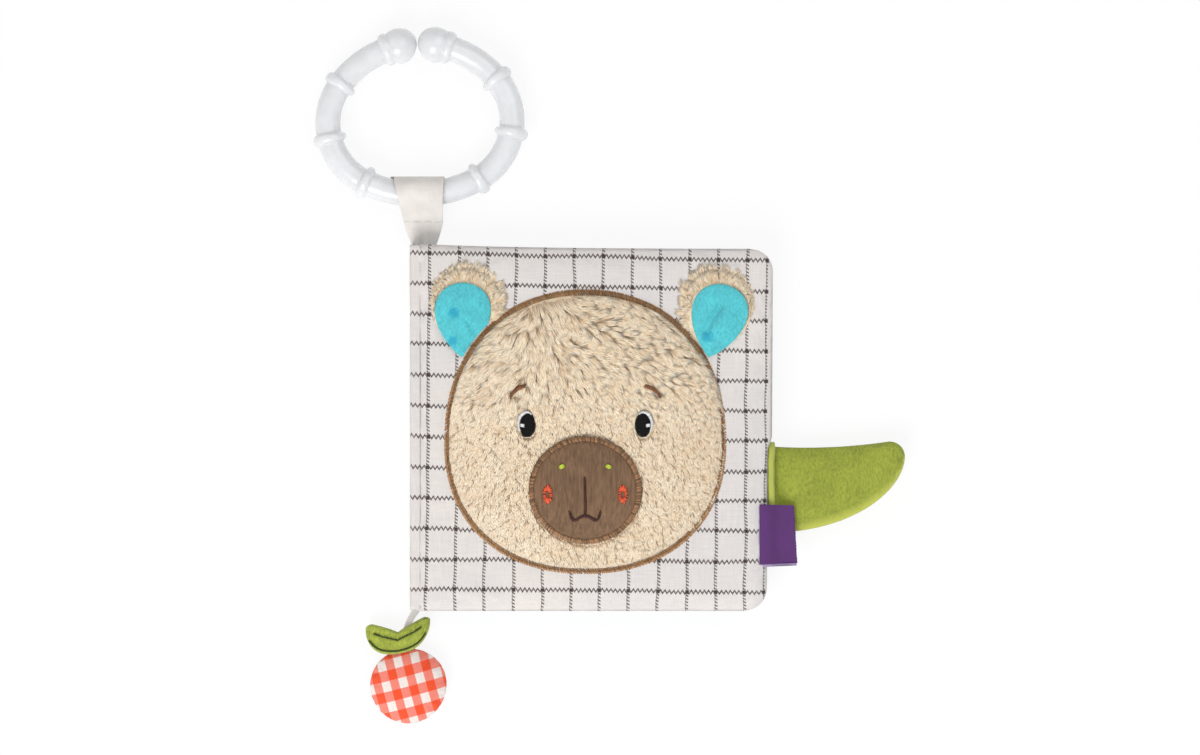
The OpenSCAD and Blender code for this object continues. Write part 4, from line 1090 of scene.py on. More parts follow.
def add_head(settings):
    """Stuffed head: a padded ground, the fur in four level pieces, and a fringe outside the border."""
    rng = np.random.default_rng(settings.seed)
    inset = HEAD_STITCH + SEAT
    angle = full_turn(160)

    def ground(x, y):
        return head_height(x, y) - settings.fur_depth * np.clip((1.02 - head_share(x, y)) / 0.04, 0, 1)

    rows = [np.stack([*head_outline(angle, t, inset), np.full(160, COVER_TOP)], -1) for t in (0.5, 1.0)]
    for t in 1 - np.linspace(0, 0.93, 34) ** 1.5:
        x, y = head_outline(angle, t, inset)
        rows.append(np.stack([x, y, ground(x, y) + 0.25 * MM * waves(x, y, 13 * MM, 5) * (1 - t)], -1))
    pad = add_piece("head_cushion", rows, pad_finish(settings), "front", ["head_pad"])

    low, high = HEAD_LOW[:2], HEAD_HIGH[:2]
    points = scattered(low, high, settings.tuft_spacing, rng)
    x, y = points.T
    keep = (head_share(x, y, inset) < 0.995) & (muzzle_share(x, y, MUZZLE_STITCH) > 0.985)
    for centre, half in bare_places():
        keep &= ~in_oval(x, y, centre, half)
    points = points[keep]
    v = (points[:, 1] - HEAD_MIDDLE[1]) / HEAD_HALF[1]
    high_up = np.clip((v - 0.05) / 0.45, 0, 1)
    length = settings.fur_length * (0.42 + 0.58 * high_up)
    lift = settings.fur_depth * (0.85 + 0.75 * high_up)
    parts = combed(points, head_flow, length, lift, 0.25 + 0.3 * high_up, ground, settings.tuft_width, rng,
                   low - 4 * MM, high + 4 * MM, settings.lock_spacing)
    root, waist, tip, across, width = parts
    side = np.arctan2(root[:, 1] - HEAD_MIDDLE[1], root[:, 0] - HEAD_MIDDLE[0])
    loose = np.clip(1 - np.abs(side + 0.05) / 0.75, 0, 1) ** 0.5
    limit = FUR_LIMIT + FUR_OVERHANG * loose
    out_tip, out_root = head_share(tip[:, 0], tip[:, 1]), head_share(root[:, 0], root[:, 1])
    cut = np.where(out_tip > limit, (limit - out_root) / np.maximum(out_tip - out_root, 1e-4), 1.0)
    cut = np.clip(cut, 0.12, 1)[:, None]
    tip, waist = root + (tip - root) * cut, root + (waist - root) * cut
    clear = muzzle_share(tip[:, 0], tip[:, 1], MUZZLE_STITCH) > 0.975
    for centre, half in bare_places()[:4]:
        clear &= ~in_oval(tip[:, 0], tip[:, 1], centre, half * 0.9)
    parts = [part[clear] for part in (root, waist, tip, across, width)]
    material = fur_finish(settings)
    bounds = HEAD_MIDDLE[1] + np.array([-24, 4, 26]) * MM
    band = np.searchsorted(bounds, parts[0][:, 1])
    for number, word in enumerate(("chin", "lower", "upper", "crown")):
        add_fur(f"head_fur_{word}", [part[band == number] for part in parts], material, rng)

    count = FRINGE_TUFTS
    angle = np.sort(rng.uniform(0, 2 * np.pi, count))
    share_at = rng.uniform(0.985, 1.0, count)
    root = np.stack([*head_outline(angle, share_at), np.full(count, COVER_TOP + 0.15 * MM)], -1)
    out = unit(np.stack([np.cos(angle), np.sin(angle), np.zeros(count)], -1))
    out = unit(out + rng.normal(0, 0.35, (count, 3)) * [1, 1, 0])
    reach = rng.uniform(1.2, 2.4, count)[:, None] * MM
    parts = (root, root + out * reach * 0.5 + UP * 0.35 * MM, root + out * reach + UP * 0.2 * MM,
             unit(np.cross(UP, out)), rng.uniform(0.35, 0.6, count) * MM)
    add_fur("head_fringe", parts, material, rng)


def satin_ring(inner, outer, count, ground, sink, rise, slant, rng):
    """Satin stitches round a closed line: each goes from the inner to the outer line, a little further on."""
    angle = full_turn(count) + rng.normal(0, 0.15, count) * 2 * np.pi / count
    start = np.stack(inner(angle), -1)
    end = np.stack(outer(angle + slant * 2 * np.pi / count), -1)
    return arched(start, end, ground, sink, rise)


def add_head_border(settings):
    """Satin stitch round the head: threads from the plush's edge down to the cover, drawn darker over the top
    and in the inner row as painted shade, and lighter in the outer row as a painted highlight.
    """
    rng = np.random.default_rng(settings.seed + 1)

    def ground(x, y):
        t = head_share(x, y)
        return COVER_TOP + 0.95 * MM * np.clip((1.0 - t) / 0.04, 0, 1)

    def top(a):
        return np.clip((np.sin(a) - 0.25) / 0.25, 0, 1)

    def line(inset, at_top):
        return lambda a: head_outline(a, 1.0, inset + (at_top - inset) * top(a))

    def row(inner, outer, rise, low, high):
        paths = satin_ring(inner, outer, HEAD_STITCHES, ground, 0.25 * MM, rise, 1.1, rng)
        tones = rng.uniform(low, high, HEAD_STITCHES)
        # Over the top of the head the tones are pulled into a darker range: painted shade, as the light falls
        # from below.
        return paths, tones + (rng.uniform(0.1, 0.6, HEAD_STITCHES) - tones) * top(full_turn(HEAD_STITCHES))

    # On top of each thread's random tone, the inner row runs darker and the outer row lighter: painted shade
    # and painted highlight.
    inner, inner_tones_and_shade = row(line(2.7 * MM, 2.9 * MM), line(1.1 * MM, 0.1 * MM), 0.95 * MM, 0.0, 0.55)
    outer, outer_tones_and_shade = row(line(1.45 * MM, 1.0 * MM), line(0.0, 0.0), 0.75 * MM, 0.35, 1.0)
    add_threads("head_satin_stitch", np.concatenate([inner, outer]), BORDER_THREAD,
                thread_finish("Golden brown thread", settings.border, 0.3, 0.6), "front",
                ["head_border"], tones=np.concatenate([inner_tones_and_shade, outer_tones_and_shade]))


def teardrop(tip, length, width, grow, lean, count=72):
    """Outline with its point below and its round end above: x is half the width times sin t times
    sin(t/2)^0.7, and y is half the length times 1 - cos t, turned by the lean about the point."""
    t = full_turn(count)
    x = (width / 2 + grow) * np.sin(t) * np.abs(np.sin(t / 2)) ** 0.7 / 0.8215
    y = (length + grow) / 2 * (1 - np.cos(t))
    return np.stack(turned(tip[0] + x, tip[1] + y, tip, lean), -1)


def outside_head(outline):
    """Outline pushed out of the head, so that the ear is tucked against the head's border."""
    t = head_share(outline[:, 0], outline[:, 1])[:, None]
    free = 1 + 2 * SEAT / HEAD_HALF[0]
    return np.where(t < free, HEAD_MIDDLE + (outline - HEAD_MIDDLE) * free / t, outline)


def add_ear(side, lean, fold, settings):
    """One ear: a plush back with fur round its rim, and a velour lining with a fold and its spots."""
    word = "left" if side < 0 else "right"
    rng = np.random.default_rng(settings.seed + 10 + side)
    tip = np.array(head_outline(EAR_SEATS[side], 1.01))
    back_tip = tip + [-side * EAR_RIM * 0.4, 0]
    back = outside_head(teardrop(back_tip, EAR_LENGTH + EAR_RIM, EAR_WIDTH, EAR_RIM - 0.7 * MM, lean))
    centre = back.mean(0)
    rows = []
    for t, z in ((0.4, 0), (0.9, 0), (0.98, 0.35), (1.0, 0.9), (0.97, 1.5), (0.85, 1.9), (0.4, 1.9)):
        ring = centre + (back - centre) * t
        rows.append(np.column_stack([ring, np.full(len(ring), COVER_TOP + z * MM)]))
    pad = add_piece(f"ear_{word}_cushion", rows, pad_finish(settings), "front",
                    [f"ear_{word}_back"])

    lining = outside_head(teardrop(tip, EAR_LENGTH, EAR_WIDTH, -0.8 * MM, lean))
    middle = lining.mean(0)
    start, end = (middle + np.array(p) * MM for p in fold["line"])
    along = unit(end - start)
    base, top = COVER_TOP + 2.1 * MM, 2.0 * MM
    rows = [np.column_stack([middle + (lining - middle) * 0.9, np.full(len(lining), base)])]
    for t in 1 - np.linspace(0, 0.96, 22) ** 1.4:
        ring = middle + (lining - middle) * t
        offset = ring - start
        run = np.clip(offset @ along / np.linalg.norm(end - start), 0, 1)
        away = offset @ np.array([-along[1], along[0]])
        ends = np.clip(run / 0.15, 0, 1) * np.clip((1 - run) / 0.15, 0, 1)
        crease = np.exp(-((away / (fold["width"] * MM)) ** 2)) * ends * fold["depth"] * MM
        bulge = fold["bulge"] * MM * np.exp(-(((away - 2.4 * MM) / (2.0 * MM)) ** 2)) * ends
        z = base + 0.4 * MM + (top - 0.4 * MM) * crown(t) ** 0.8 - crease + bulge
        z = z + 0.15 * MM * waves(ring[:, 0], ring[:, 1], 8 * MM, 60 + side) * (1 - t)
        rows.append(np.column_stack([ring, np.maximum(z, base + 0.1 * MM)]))
    spots = [((*(middle + np.array(p) * MM), 0.0), r * MM, tuple(settings.spots)) for p, r in fold["spots"]]
    velour = velour_finish(f"Turquoise velour {word}", settings.lining, 1300.0, 150.0, (1.0, 0.4, 1.0),
                           sheen=0.5, contrast=0.2, depth=0.3, spots=spots)
    inner = add_piece(f"ear_{word}_velour", rows, velour, "front", [f"ear_{word}_lining"])

    low, high = back.min(0) - 2 * MM, back.max(0) + 2 * MM
    points = scattered(low, high, 0.33 * MM, rng)
    offset = points - middle
    turn = np.arctan2(offset[:, 1], offset[:, 0])
    lining_r, back_r = polar(lining, middle), polar(back, middle)
    r = np.linalg.norm(offset, axis=1)
    keep = (r > lining_r(turn) * 0.985) & (r < back_r(turn) * 0.99) & (head_share(*points.T) > 0.985)
    points, turn = points[keep], turn[keep]
    inward = np.clip(np.cos(turn - (np.pi / 2 + side * 0.8)) * 0.75 + 0.4, 0.2, 1)
    down = np.clip((middle[1] - points[:, 1]) / (9 * MM), 0, 1)
    reach = EAR_FUR * inward * (1 - 0.6 * down)

    def outwards(px, py):
        return np.arctan2(py - middle[1], px - middle[0])

    def ground(px, py):
        inside = back_r(outwards(px, py)) - np.hypot(px - middle[0], py - middle[1])
        return COVER_TOP + 0.2 * MM + 1.7 * MM * np.clip(inside / (1.2 * MM), 0, 1)

    parts = combed(points, outwards, reach, 0.9 * MM, 0.3, ground, 0.32 * MM, rng,
                   low - 4 * MM, high + 4 * MM, 2.1 * MM)
    clear = head_share(parts[2][:, 0], parts[2][:, 1]) > 0.97
    add_fur(f"ear_{word}_fur", [part[clear] for part in parts], fur_finish(settings), rng)


def add_muzzle(settings):
    """Velour muzzle with its satin border: a padded oval that dips along the line below the nose."""
    a, b = MUZZLE_HALF - MUZZLE_STITCH + 0.2 * MM
    angle = full_turn(120)

    def oval(a_half, b_half):
        return lambda t: (MUZZLE_MIDDLE[0] + a_half * np.cos(t), MUZZLE_MIDDLE[1] + b_half * np.sin(t))

    rows = []
    for t in (0.3, 0.7, 1.0):
        x, y = oval(a * t, b * t)(angle)
        rows.append(np.stack([x, y, head_height(x, y) - 0.3 * MM], -1))
    for t in 1 - np.linspace(0, 0.97, 30) ** 1.4:
        x, y = oval(a * t, b * t)(angle)
        rows.append(np.stack([x, y, muzzle_height(x, y) + 0.12 * MM * waves(x, y, 9 * MM, 31) * (1 - t)], -1))
    velour = velour_finish("Brown velour", settings.velour, 1100.0, 35.0, (1.0, 0.13, 1.0),
                           sheen=0.25, contrast=0.34, depth=0.4)
    pad = add_piece("muzzle_cushion", rows, velour, "front", ["muzzle"])

    def ground(x, y):
        t = np.clip((1.13 - muzzle_share(x, y)) / 0.12, 0, 1)
        return head_height(x, y) - 0.5 * MM + 1.1 * MM * t

    paths = satin_ring(oval(a - 0.3 * MM, b - 0.3 * MM), oval(*MUZZLE_HALF), MUZZLE_STITCHES, ground,
                       0.5 * MM, 1.2 * MM, 0.8, np.random.default_rng(33))
    add_threads("muzzle_satin_stitch", paths, BORDER_THREAD,
                thread_finish("Muzzle thread", settings.border, 0.3, 0.75), "front",
                ["muzzle_border"], 4)


# Embroidery


def oval_fill(centre, half, turn, thread, ground, sink, rise):
    """Threads that fill an oval from side to side, one row above the other."""
    count = int(round(2 * half[1] / (thread * 0.92)))
    y = np.linspace(-1, 1, count + 2)[1:-1]
    x = np.sqrt(1 - y**2) * half[0]
    left = np.stack(turned(centre[0] - x, centre[1] + y * half[1], centre, turn), -1)
    right = np.stack(turned(centre[0] + x, centre[1] + y * half[1] + thread * 0.3, centre, turn), -1)
    return arched(left, right, ground, sink, rise, 7)


def add_eyes(settings):
    """Eyes: black satin ovals, a white crescent on the outer side of each, and a small white light."""
    black = thread_finish("Black thread", settings.black, 0.9)
    white = thread_finish("White thread", settings.white, 0.5)

    def ground(x, y):
        return head_height(x, y) - 0.3 * MM

    for side, word in ((-1, "left"), (1, "right")):
        centre, half = node_oval(f"eye_{word}")
        fill = oval_fill(centre, half, side * 0.07, settings.thread, ground, 0.7 * MM, 1.1 * MM)
        add_threads(f"eye_{word}_threads", fill, settings.thread, black, "front",
                    [f"eye_{word}"], 5)
        across = heading(EYE_LIGHT_ARC if side < 0 else np.pi - EYE_LIGHT_ARC)
        fat = np.sin(np.linspace(0.12, np.pi - 0.12, 34))[:, None]
        ragged = np.random.default_rng(40 + side).uniform(-0.22, 0.22, (34, 1))
        inner = centre + across * (half - 0.3 * MM)
        outer = centre + across * (half + (0.25 + (1.0 + ragged) * fat) * MM)
        paths = arched(inner, outer, ground, 0.5 * MM, 1.0 * MM)
        spot = centre + np.array([side * half[0] * 0.62, 0.0])
        rows = np.linspace(-1, 1, 4)[:, None] * np.array([0.0, 0.45 * MM])
        reach = np.array([1.2, 0.7, 1.3, 1.0])[:, None] * MM * np.array([1.0, 0.1])
        reach = reach * [side, 1]
        light = arched(spot + rows - reach, spot + rows + reach, ground, 0.1 * MM, 1.5 * MM)
        add_threads(f"eye_{word}_light", np.concatenate([paths, light]), settings.thread, white,
                    "front", [f"eye_{word}_white"], 6)


def across_line(line, half, ground, sink, rise, slant=0.35):
    """Satin stitches across a line: half is their reach to each side at every point."""
    along = unit(np.gradient(line, axis=0))
    side = np.stack([-along[:, 1], along[:, 0]], -1) * half[:, None]
    lean = along * half[:, None] * slant
    return arched(line - side - lean, line + side + lean, ground, sink, rise)


def add_brows(settings):
    """Brows: short satin stitches across an arc, thin towards its ends."""
    brown = thread_finish("Brow thread", settings.brow, 0.45)
    for side, word in ((-1, "left"), (1, "right")):
        centre, _ = node_oval(f"brow_{word}")
        s = np.linspace(-1, 1, 26)
        x, y = turned(centre[0] + s * 3.7 * MM, centre[1] + 0.9 * MM * (0.5 - s * s), centre, -side * 0.62)
        half = 0.95 * MM * (0.4 + 0.6 * np.cos((s + side * 0.35) * np.pi / 2.6))
        paths = across_line(np.stack([x, y], -1), half, head_height, 0.4 * MM, 1.15 * MM)
        add_threads(f"brow_{word}_threads", paths, settings.thread, brown, "front",
                    [f"brow_{word}"], 7)


def add_muzzle_stitches(settings):
    """Nostrils, cheeks and mouth, embroidered on the muzzle."""
    thread = settings.thread
    green = thread_finish("Green thread", settings.nostril, 0.4)
    orange = thread_finish("Orange thread", settings.cheek, 0.4)
    dark = thread_finish("Dark thread", settings.mouth, 0.5)
    for side, word in ((-1, "left"), (1, "right")):
        centre, half = node_oval(f"nostril_{word}")
        fill = oval_fill(centre, half * [1.15, 0.95], -side * 0.5, thread, muzzle_height, 0.2 * MM, 0.65 * MM)
        add_threads(f"nostril_{word}_threads", fill, thread, green, "front",
                    [f"nostril_{word}"], 8)
        centre, half = node_oval(f"cheek_{word}")
        draw = np.random.default_rng(50 + side)
        rays = 19
        angle = (np.arange(rays) + draw.uniform(-0.3, 0.3, rays)) * 2 * np.pi / rays
        across = heading(angle)
        inner = centre + across * half * draw.uniform(0.3, 0.5, (rays, 1))
        outer = centre + across * half * draw.uniform(0.9, 1.08, (rays, 1))
        paths = arched(inner, outer + np.roll(across, 1, 0) * 0.2 * MM, muzzle_height, 0.2 * MM, 0.6 * MM)
        add_threads(f"cheek_{word}_threads", paths, CHEEK_THREAD, orange, "front",
                    [f"cheek_{word}"], 9)
    x0, y0 = MUZZLE_MIDDLE
    s = np.linspace(-1, 1, 46)
    dip = y0 - MOUTH_DROP - 1.6 * MM * np.sin(np.pi * s * s) + 1.5 * MM * s**8
    smile = np.stack([x0 + s * MOUTH_WIDTH / 2, dip], -1)
    t = np.linspace(0, 1, 34)
    line = np.stack([x0 + 0.15 * MM * np.sin(t * 5), y0 - MOUTH_DROP + NOSE_LINE * t], -1)
    paths = [
        across_line(row, np.full(len(row), reach * MM), muzzle_height, 0.15 * MM, 0.5 * MM, 1.6)
        for row, reach in ((smile, 0.52), (line, 0.42))
    ]
    add_threads("mouth_threads", np.concatenate(paths), thread, dark, "front",
                ["mouth_stitch"], 10)


# Tab, label, ring and ribbons


def tab_edges(s):
    """Upper and lower edge of the leaf tab at a share s of its length: the upper edge is slightly hollow
    and rounds over into the tip, and the lower edge is one full curve."""
    tip, level, root = 0.88, -4.0, 33.5
    rise = -3.2 * tip + 6.2 * tip * tip
    over = np.sqrt(np.clip(1 - ((s - tip) / (1 - tip)) ** 2, 0, 1))
    top = np.where(s < tip, -3.2 * s + 6.2 * s * s, level + (rise - level) * over)
    bottom = level - (root + level) * np.clip(1 - s * s, 0, 1) ** 0.55
    return top * MM, bottom * MM


def add_tab(settings):
    """Leaf tab: a stuffed velour leaf with a seam along its edges, its lower edge lighter as a painted
    highlight, and the folded strip at its root.
    """
    low, high = node_box("tab_leaf")
    shift = high[1] - 1.99 * MM
    root, length = low[0] + 1.8 * MM, high[0] - low[0] - 1.8 * MM
    s = np.sin(np.linspace(0, 1, 90) * np.pi / 2) ** 1.15 * 0.9985
    top, bottom = tab_edges(s)
    angle = full_turn(72)
    c, w = np.cos(angle), np.sin(angle)
    full = TAB_THICK * np.minimum(1, 0.62 + 3 * s) * np.sqrt(np.clip(1 - s**9, 0, 1))
    y = (top + bottom)[:, None] / 2 + (top - bottom)[:, None] / 2 * signed_power(c, 0.72)
    z = full[:, None] * signed_power(w, 0.78)
    x = root + length * s[:, None] * np.ones(72)
    crease = 0.35 * MM * waves(x, y, 12 * MM, 71) * np.abs(w) * np.sign(w)
    rows = np.stack([x, y + shift, MIDDLE_Z + z + crease * np.clip(1 - s[:, None] ** 4, 0, 1)], -1)
    # The rim colour is a painted highlight along the tab's lower edge, where the light from below falls; the
    # rim mark fades it in towards that edge.
    velour = velour_finish("Green velour", settings.tab, 1500.0, 85.0, (1.0, 0.42, 1.0), sheen=0.3,
                           contrast=0.26, depth=0.35, rim=srgb(202, 206, 92))
    rim = np.clip((0.55 - (y - bottom[:, None]) / (7 * MM)), 0, 0.55) / 0.55 * np.ones_like(x)
    rim = np.concatenate([rim.ravel(), [0.0, 1.0]])
    tab = add_piece("leaf_tab_cushion", rows, velour, "pages", ["tab_leaf"],
                    {"rim": rim})
    count = len(angle)
    pins = [k * count + j for k in range(len(s)) for j in (0, count // 2)]
    inflate(tab, pins + list(range(count * 3)), 1.5, 0.7 * MM, spare=0.01)

    angle = full_turn(20)
    y = np.linspace(high[1] - 0.2 * MM, low[1] + 0.2 * MM, 60)
    wave = 0.18 * MM * waves(y, y * 0, 7 * MM, 72)
    ring_x = root - 0.7 * MM + 1.65 * MM * signed_power(np.cos(angle), 0.6)
    ring_z = signed_power(np.sin(angle), 0.6)
    tall = (5.6 - 3.4 * np.exp(-np.linspace(0, 60, 60) / 2)) * MM
    rows = np.stack([
        ring_x[None] + wave[:, None], y[:, None] * np.ones(20), MIDDLE_Z + tall[:, None] * ring_z[None]
    ], -1)
    cloth = woven_finish("Green binding", settings.strip, 0.32 * MM, 0.2)
    add_piece("leaf_tab_binding", rows, cloth, "pages")


def add_label(settings):
    """Side label: ribbon that lies on the cover, bends over its edge and hangs free, with a second layer
    behind it whose frayed edge shows below."""
    low, high = node_box("side_label")
    top = COVER_TOP
    edge = low[0] + 3.6 * MM
    run = np.array([[low[0], top + 0.25 * MM], [edge - 0.8 * MM, top + 0.3 * MM], [edge + 0.8 * MM, top],
                    [edge + 3 * MM, top - 2.0 * MM], [high[0] - 3 * MM, top - 2.5 * MM],
                    [high[0], top - 2.6 * MM]])
    fine = np.linspace(0, 1, 40)
    step = run_along(run)
    line = smoothed(sampled(run, step, fine * step[-1]), 30)
    height = high[1] - low[1]
    v = np.linspace(0, 1, 44)
    for name, below, lower, tint, thick, nodes in (
        ("label_ribbon", 0.0, 0.0, settings.label, 0.42, ["side_label"]),
        ("label_back", -0.55, -1.0, settings.label_edge, 0.36, []),
    ):
        flare = 0.8 * MM * fine[None] * (0.5 - v[:, None])
        y = low[1] + lower * MM + height * v[:, None] + flare * 1.2
        x = line[None, :, 0] + (0.4 - 1.3 * v[:, None]) * fine[None] * MM
        fray = 0.12 * MM * waves(v[:, None] * height * np.ones(40), line[None, :, 0] * 1.0, 1.1 * MM, 81)
        x = x + fray * (fine[None] > 0.97) + (below * 0.4 * MM if below else 0)
        z = line[None, :, 1] + below * MM + 0.18 * MM * waves(x, y, 9 * MM, 82)
        uv = np.stack([fine * step[-1] * np.ones((44, 1)), v[:, None] * height * np.ones(40)], -1)
        skin, uv = sheet_skin(np.stack([x, y, z], -1), UP * (thick * MM / 2), uv)
        cloth = woven_finish(f"{name} weave", tint, 0.26 * MM, 0.22, 0.55, True, 0.08)
        piece = add_piece(name, skin, cloth, "front", nodes, uv=uv)


def ring_line(turn):
    """Centreline of one half of the ring at a turn from its mouth: an arc at the top, one at the side and
    one at the bottom, which meet without a kink at the second and fourth collars."""
    first, second = RING_TURNS[1], RING_TURNS[3]
    shoulder = (1 - np.cos(first)) / np.sin(first)
    foot = (1 + np.cos(second)) / np.sin(second)
    a, b = RING_LENGTH / 2, RING_WIDTH / 2
    side_r = (2 * b - (shoulder + foot) * a) / (2 - shoulder - foot)
    side_x = a - side_r
    top_r, bottom_r = side_r + side_x / np.sin(first), side_r + side_x / np.sin(second)
    side_y = b - top_r + (top_r - side_r) * np.cos(first)
    radius = np.where(turn < first, top_r, np.where(turn < second, side_r, bottom_r))
    x = np.where((turn >= first) & (turn < second), side_x, 0.0)
    y = np.where(turn < first, b - top_r, np.where(turn < second, side_y, bottom_r - b))
    return x + radius * np.sin(turn), y + radius * np.cos(turn)


def add_ring(settings):
    """Clip ring: one bar swept round the oval. Its radius swells to a round collar at eight places, and
    each end is a ball: the radius there is the root of R^2 - d^2, d being the distance from its middle."""
    turn = np.linspace(0.02, np.pi, 4000)
    x, y = ring_line(turn)
    far = run_along(np.stack([x, y], -1))
    ball_x = (RING_BALL + 0.3 * MM) / 2
    ball_at = np.interp(ball_x, x[:800], far[:800])
    ball_r = RING_BALL / 2
    s = ball_at - ball_r * np.cos(np.linspace(0, np.pi / 2, 26))[:-1] * 0.9999
    s = np.concatenate([s, np.linspace(ball_at, far[-1], 330)[:-1]])
    radius = np.full(len(s), RING_BAR / 2)
    for at in np.interp(RING_TURNS, turn, far):
        near = np.clip(1 - ((s - at) / (2.0 * MM)) ** 2, 0, 1)
        radius = np.maximum(radius, RING_BAR / 2 - 0.5 * MM + 2.05 * MM * near**0.38)
    ball = np.sqrt(np.maximum(ball_r**2 - (s - ball_at) ** 2, 0))
    radius = np.where(s < ball_at, ball, np.maximum(radius, ball))
    px, py = np.interp(s, far, x), np.interp(s, far, y)
    px = np.where(s < 0, x[0] + s, px)
    line = np.stack([np.concatenate([px, -px[::-1]]), np.concatenate([py, py[::-1]])], -1)
    radius = np.concatenate([radius, radius[::-1]])
    along = unit(np.gradient(line, axis=0))
    out = np.stack([along[:, 1], -along[:, 0]], -1)
    angle = full_turn(48)
    seam = 1 + 0.012 * np.exp(-((np.sin(angle) / 0.05) ** 2))
    flat = line[:, None] - out[:, None] * (radius[:, None] * np.cos(angle) * seam)[..., None]
    fx, fy = turned(flat[..., 0], flat[..., 1], (0.0, 0.0), RING_TILT)
    rings = np.stack([fx + RING_CENTRE[0], fy + RING_CENTRE[1],
                      RING_CENTRE[2] + radius[:, None] * np.sin(angle)], -1)
    add_piece("ring_moulding", lofted(rings), plastic_finish(settings), "ring", ["clip_ring"])


def add_loop(settings):
    """Ribbon loop: it leaves the book in pleats, is sewn together at a line of stitches, goes round the
    ring's bar and comes back behind itself a little to the left."""
    low, high = node_box("ring_loop")
    thick, radius = LOOP_THICK, LOOP_R
    x0 = (low[0] + high[0]) / 2
    far_y, book_y = high[1] - 0.8 * MM, COVER_HIGH[1]
    stitch_y = book_y + 9.2 * MM
    mid_y, mid_z = far_y - radius, RING_CENTRE[2]
    root_z = 4.4 * MM
    stitch_z = (mid_z + root_z) / 2
    back = np.arctan2(mid_z - stitch_z, mid_y - stitch_y)
    wrap = np.arccos(radius / np.hypot(mid_y - stitch_y, mid_z - stitch_z))
    arc = np.pi + back + wrap + np.linspace(0, 1, 40) * (2 * np.pi - 2 * wrap)
    rows = []
    for layer in (-1, 1):
        for s in np.linspace(1, 0, 12):
            rows.append((stitch_y + (book_y - stitch_y) * s, stitch_z + (root_z - stitch_z) * s
                         + layer * (thick / 2 + 0.06 * MM), 0.0, layer, s))
        if layer < 0:
            rows += [(mid_y + (radius + thick / 2) * np.cos(a), mid_z + (radius + thick / 2) * np.sin(a),
                      np.cos(a), np.sin(a), 0.0) for a in arc]
    rows = np.array(rows)
    rows[-12:] = rows[-12:][::-1]
    gathered = rows[:, 4]
    open_at = np.clip((rows[:, 0] - stitch_y) / (far_y + thick - stitch_y), 0, 1)
    gather = LOOP_AT_STITCH + (LOOP_AT_BOOK - LOOP_AT_STITCH) * gathered**1.3
    spread = LOOP_AT_STITCH + (LOOP_AT_RING - LOOP_AT_STITCH) * open_at
    half = np.where(gathered > 0, gather, spread) / 2 * MM
    lag = np.where(rows[:, 3] < 0, open_at, 0.0) * -1.3 * MM
    u = np.linspace(-1, 1, 49)
    middle = np.where(gathered > 0, 1.3 + 0.2 * gathered, 1.3 - 1.6 * open_at) * MM
    x = x0 + middle[:, None] + lag[:, None] + half[:, None] * u
    pleat = 0.3 * MM * gathered[:, None] * np.cos(3 * np.pi * u)
    z = rows[:, 1, None] + pleat + 0.1 * MM * waves(x, rows[:, 0, None] * np.ones(49), 7 * MM, 91)
    one = np.ones(49)
    centre = np.stack([x, rows[:, 0, None] * one, z], -1)
    normal = unit(np.stack([0 * x, rows[:, 2, None] * one, rows[:, 3, None] * one], -1))
    run = run_along(rows[:, :2])
    uv = np.stack([half[:, None] * u, run[:, None] * one], -1)
    skin, uv = sheet_skin(centre, normal * thick / 2, uv)
    cloth = woven_finish("Cotton ribbon", settings.ribbon, 0.3 * MM, 0.12, 0.75, True, 0.08)
    ribbon = add_piece("loop_ribbon", skin, cloth, "back", ["ring_loop"], uv=uv)

    t = np.linspace(-1, 1, 12)
    start = np.stack([x0 + 1.3 * MM + t[:-1] * 7.2 * MM, np.full(11, stitch_y)], -1)
    end = start + np.array([1.15 * MM, 0.1 * MM])
    paths = arched(start, end, lambda px, py: stitch_z + thick + 0.08 * MM + 0 * px, 0.25 * MM, 0.3 * MM)
    white = thread_finish("Ribbon thread", srgb(252, 250, 248), 0.5)
    add_threads("loop_stitches", paths, 0.5 * MM, white, "back", (), 11)


def add_pendant(settings):
    """Pendant: a narrow ribbon, the stuffed gingham fruit, the two-lobed leaf and its stitching."""
    start = np.array([SPINE_HIGH[0] + 1.4 * MM, BACK_LOW[1] + 0.6 * MM, 2.0 * MM])
    end = np.array([FRUIT_MIDDLE[0] - 2.0 * MM, FRUIT_MIDDLE[1] + FRUIT_R - 0.4 * MM, FRUIT_MIDDLE[2]])
    s = np.linspace(0, 1, 40)
    line = start + (end - start) * s[:, None] - np.stack([1.6 * MM * np.sin(np.pi * s), 0 * s, 0 * s], -1)
    half = (1.75 - 0.8 * s) * MM
    twist = 0.5 * np.sin(np.pi * s)
    u = np.linspace(-1, 1, 9)
    across = np.stack([np.cos(twist), 0 * s, np.sin(twist)], -1)
    centre = line[:, None] + across[:, None] * (half[:, None] * u)[..., None]
    uv = np.stack([half[:, None] * u, s[:, None] * 15 * MM * np.ones(9)], -1)
    skin, uv = sheet_skin(centre, UP * 0.22 * MM, uv)
    cloth = woven_finish("Narrow ribbon", settings.ribbon, 0.28 * MM, 0.12, 0.75, True, 0.08)
    add_piece("pendant_narrow_ribbon", skin, cloth, "back", ["pendant_ribbon"], uv=uv)
    add_fruit(settings)
    add_leaf(settings)


def fruit_half(r):
    """Half of the fruit's thickness at a distance from its middle."""
    return (FRUIT_HIGH[2] - FRUIT_LOW[2]) / 2 * np.clip(1 - (r / FRUIT_R) ** 2, 0, 1) ** 0.6


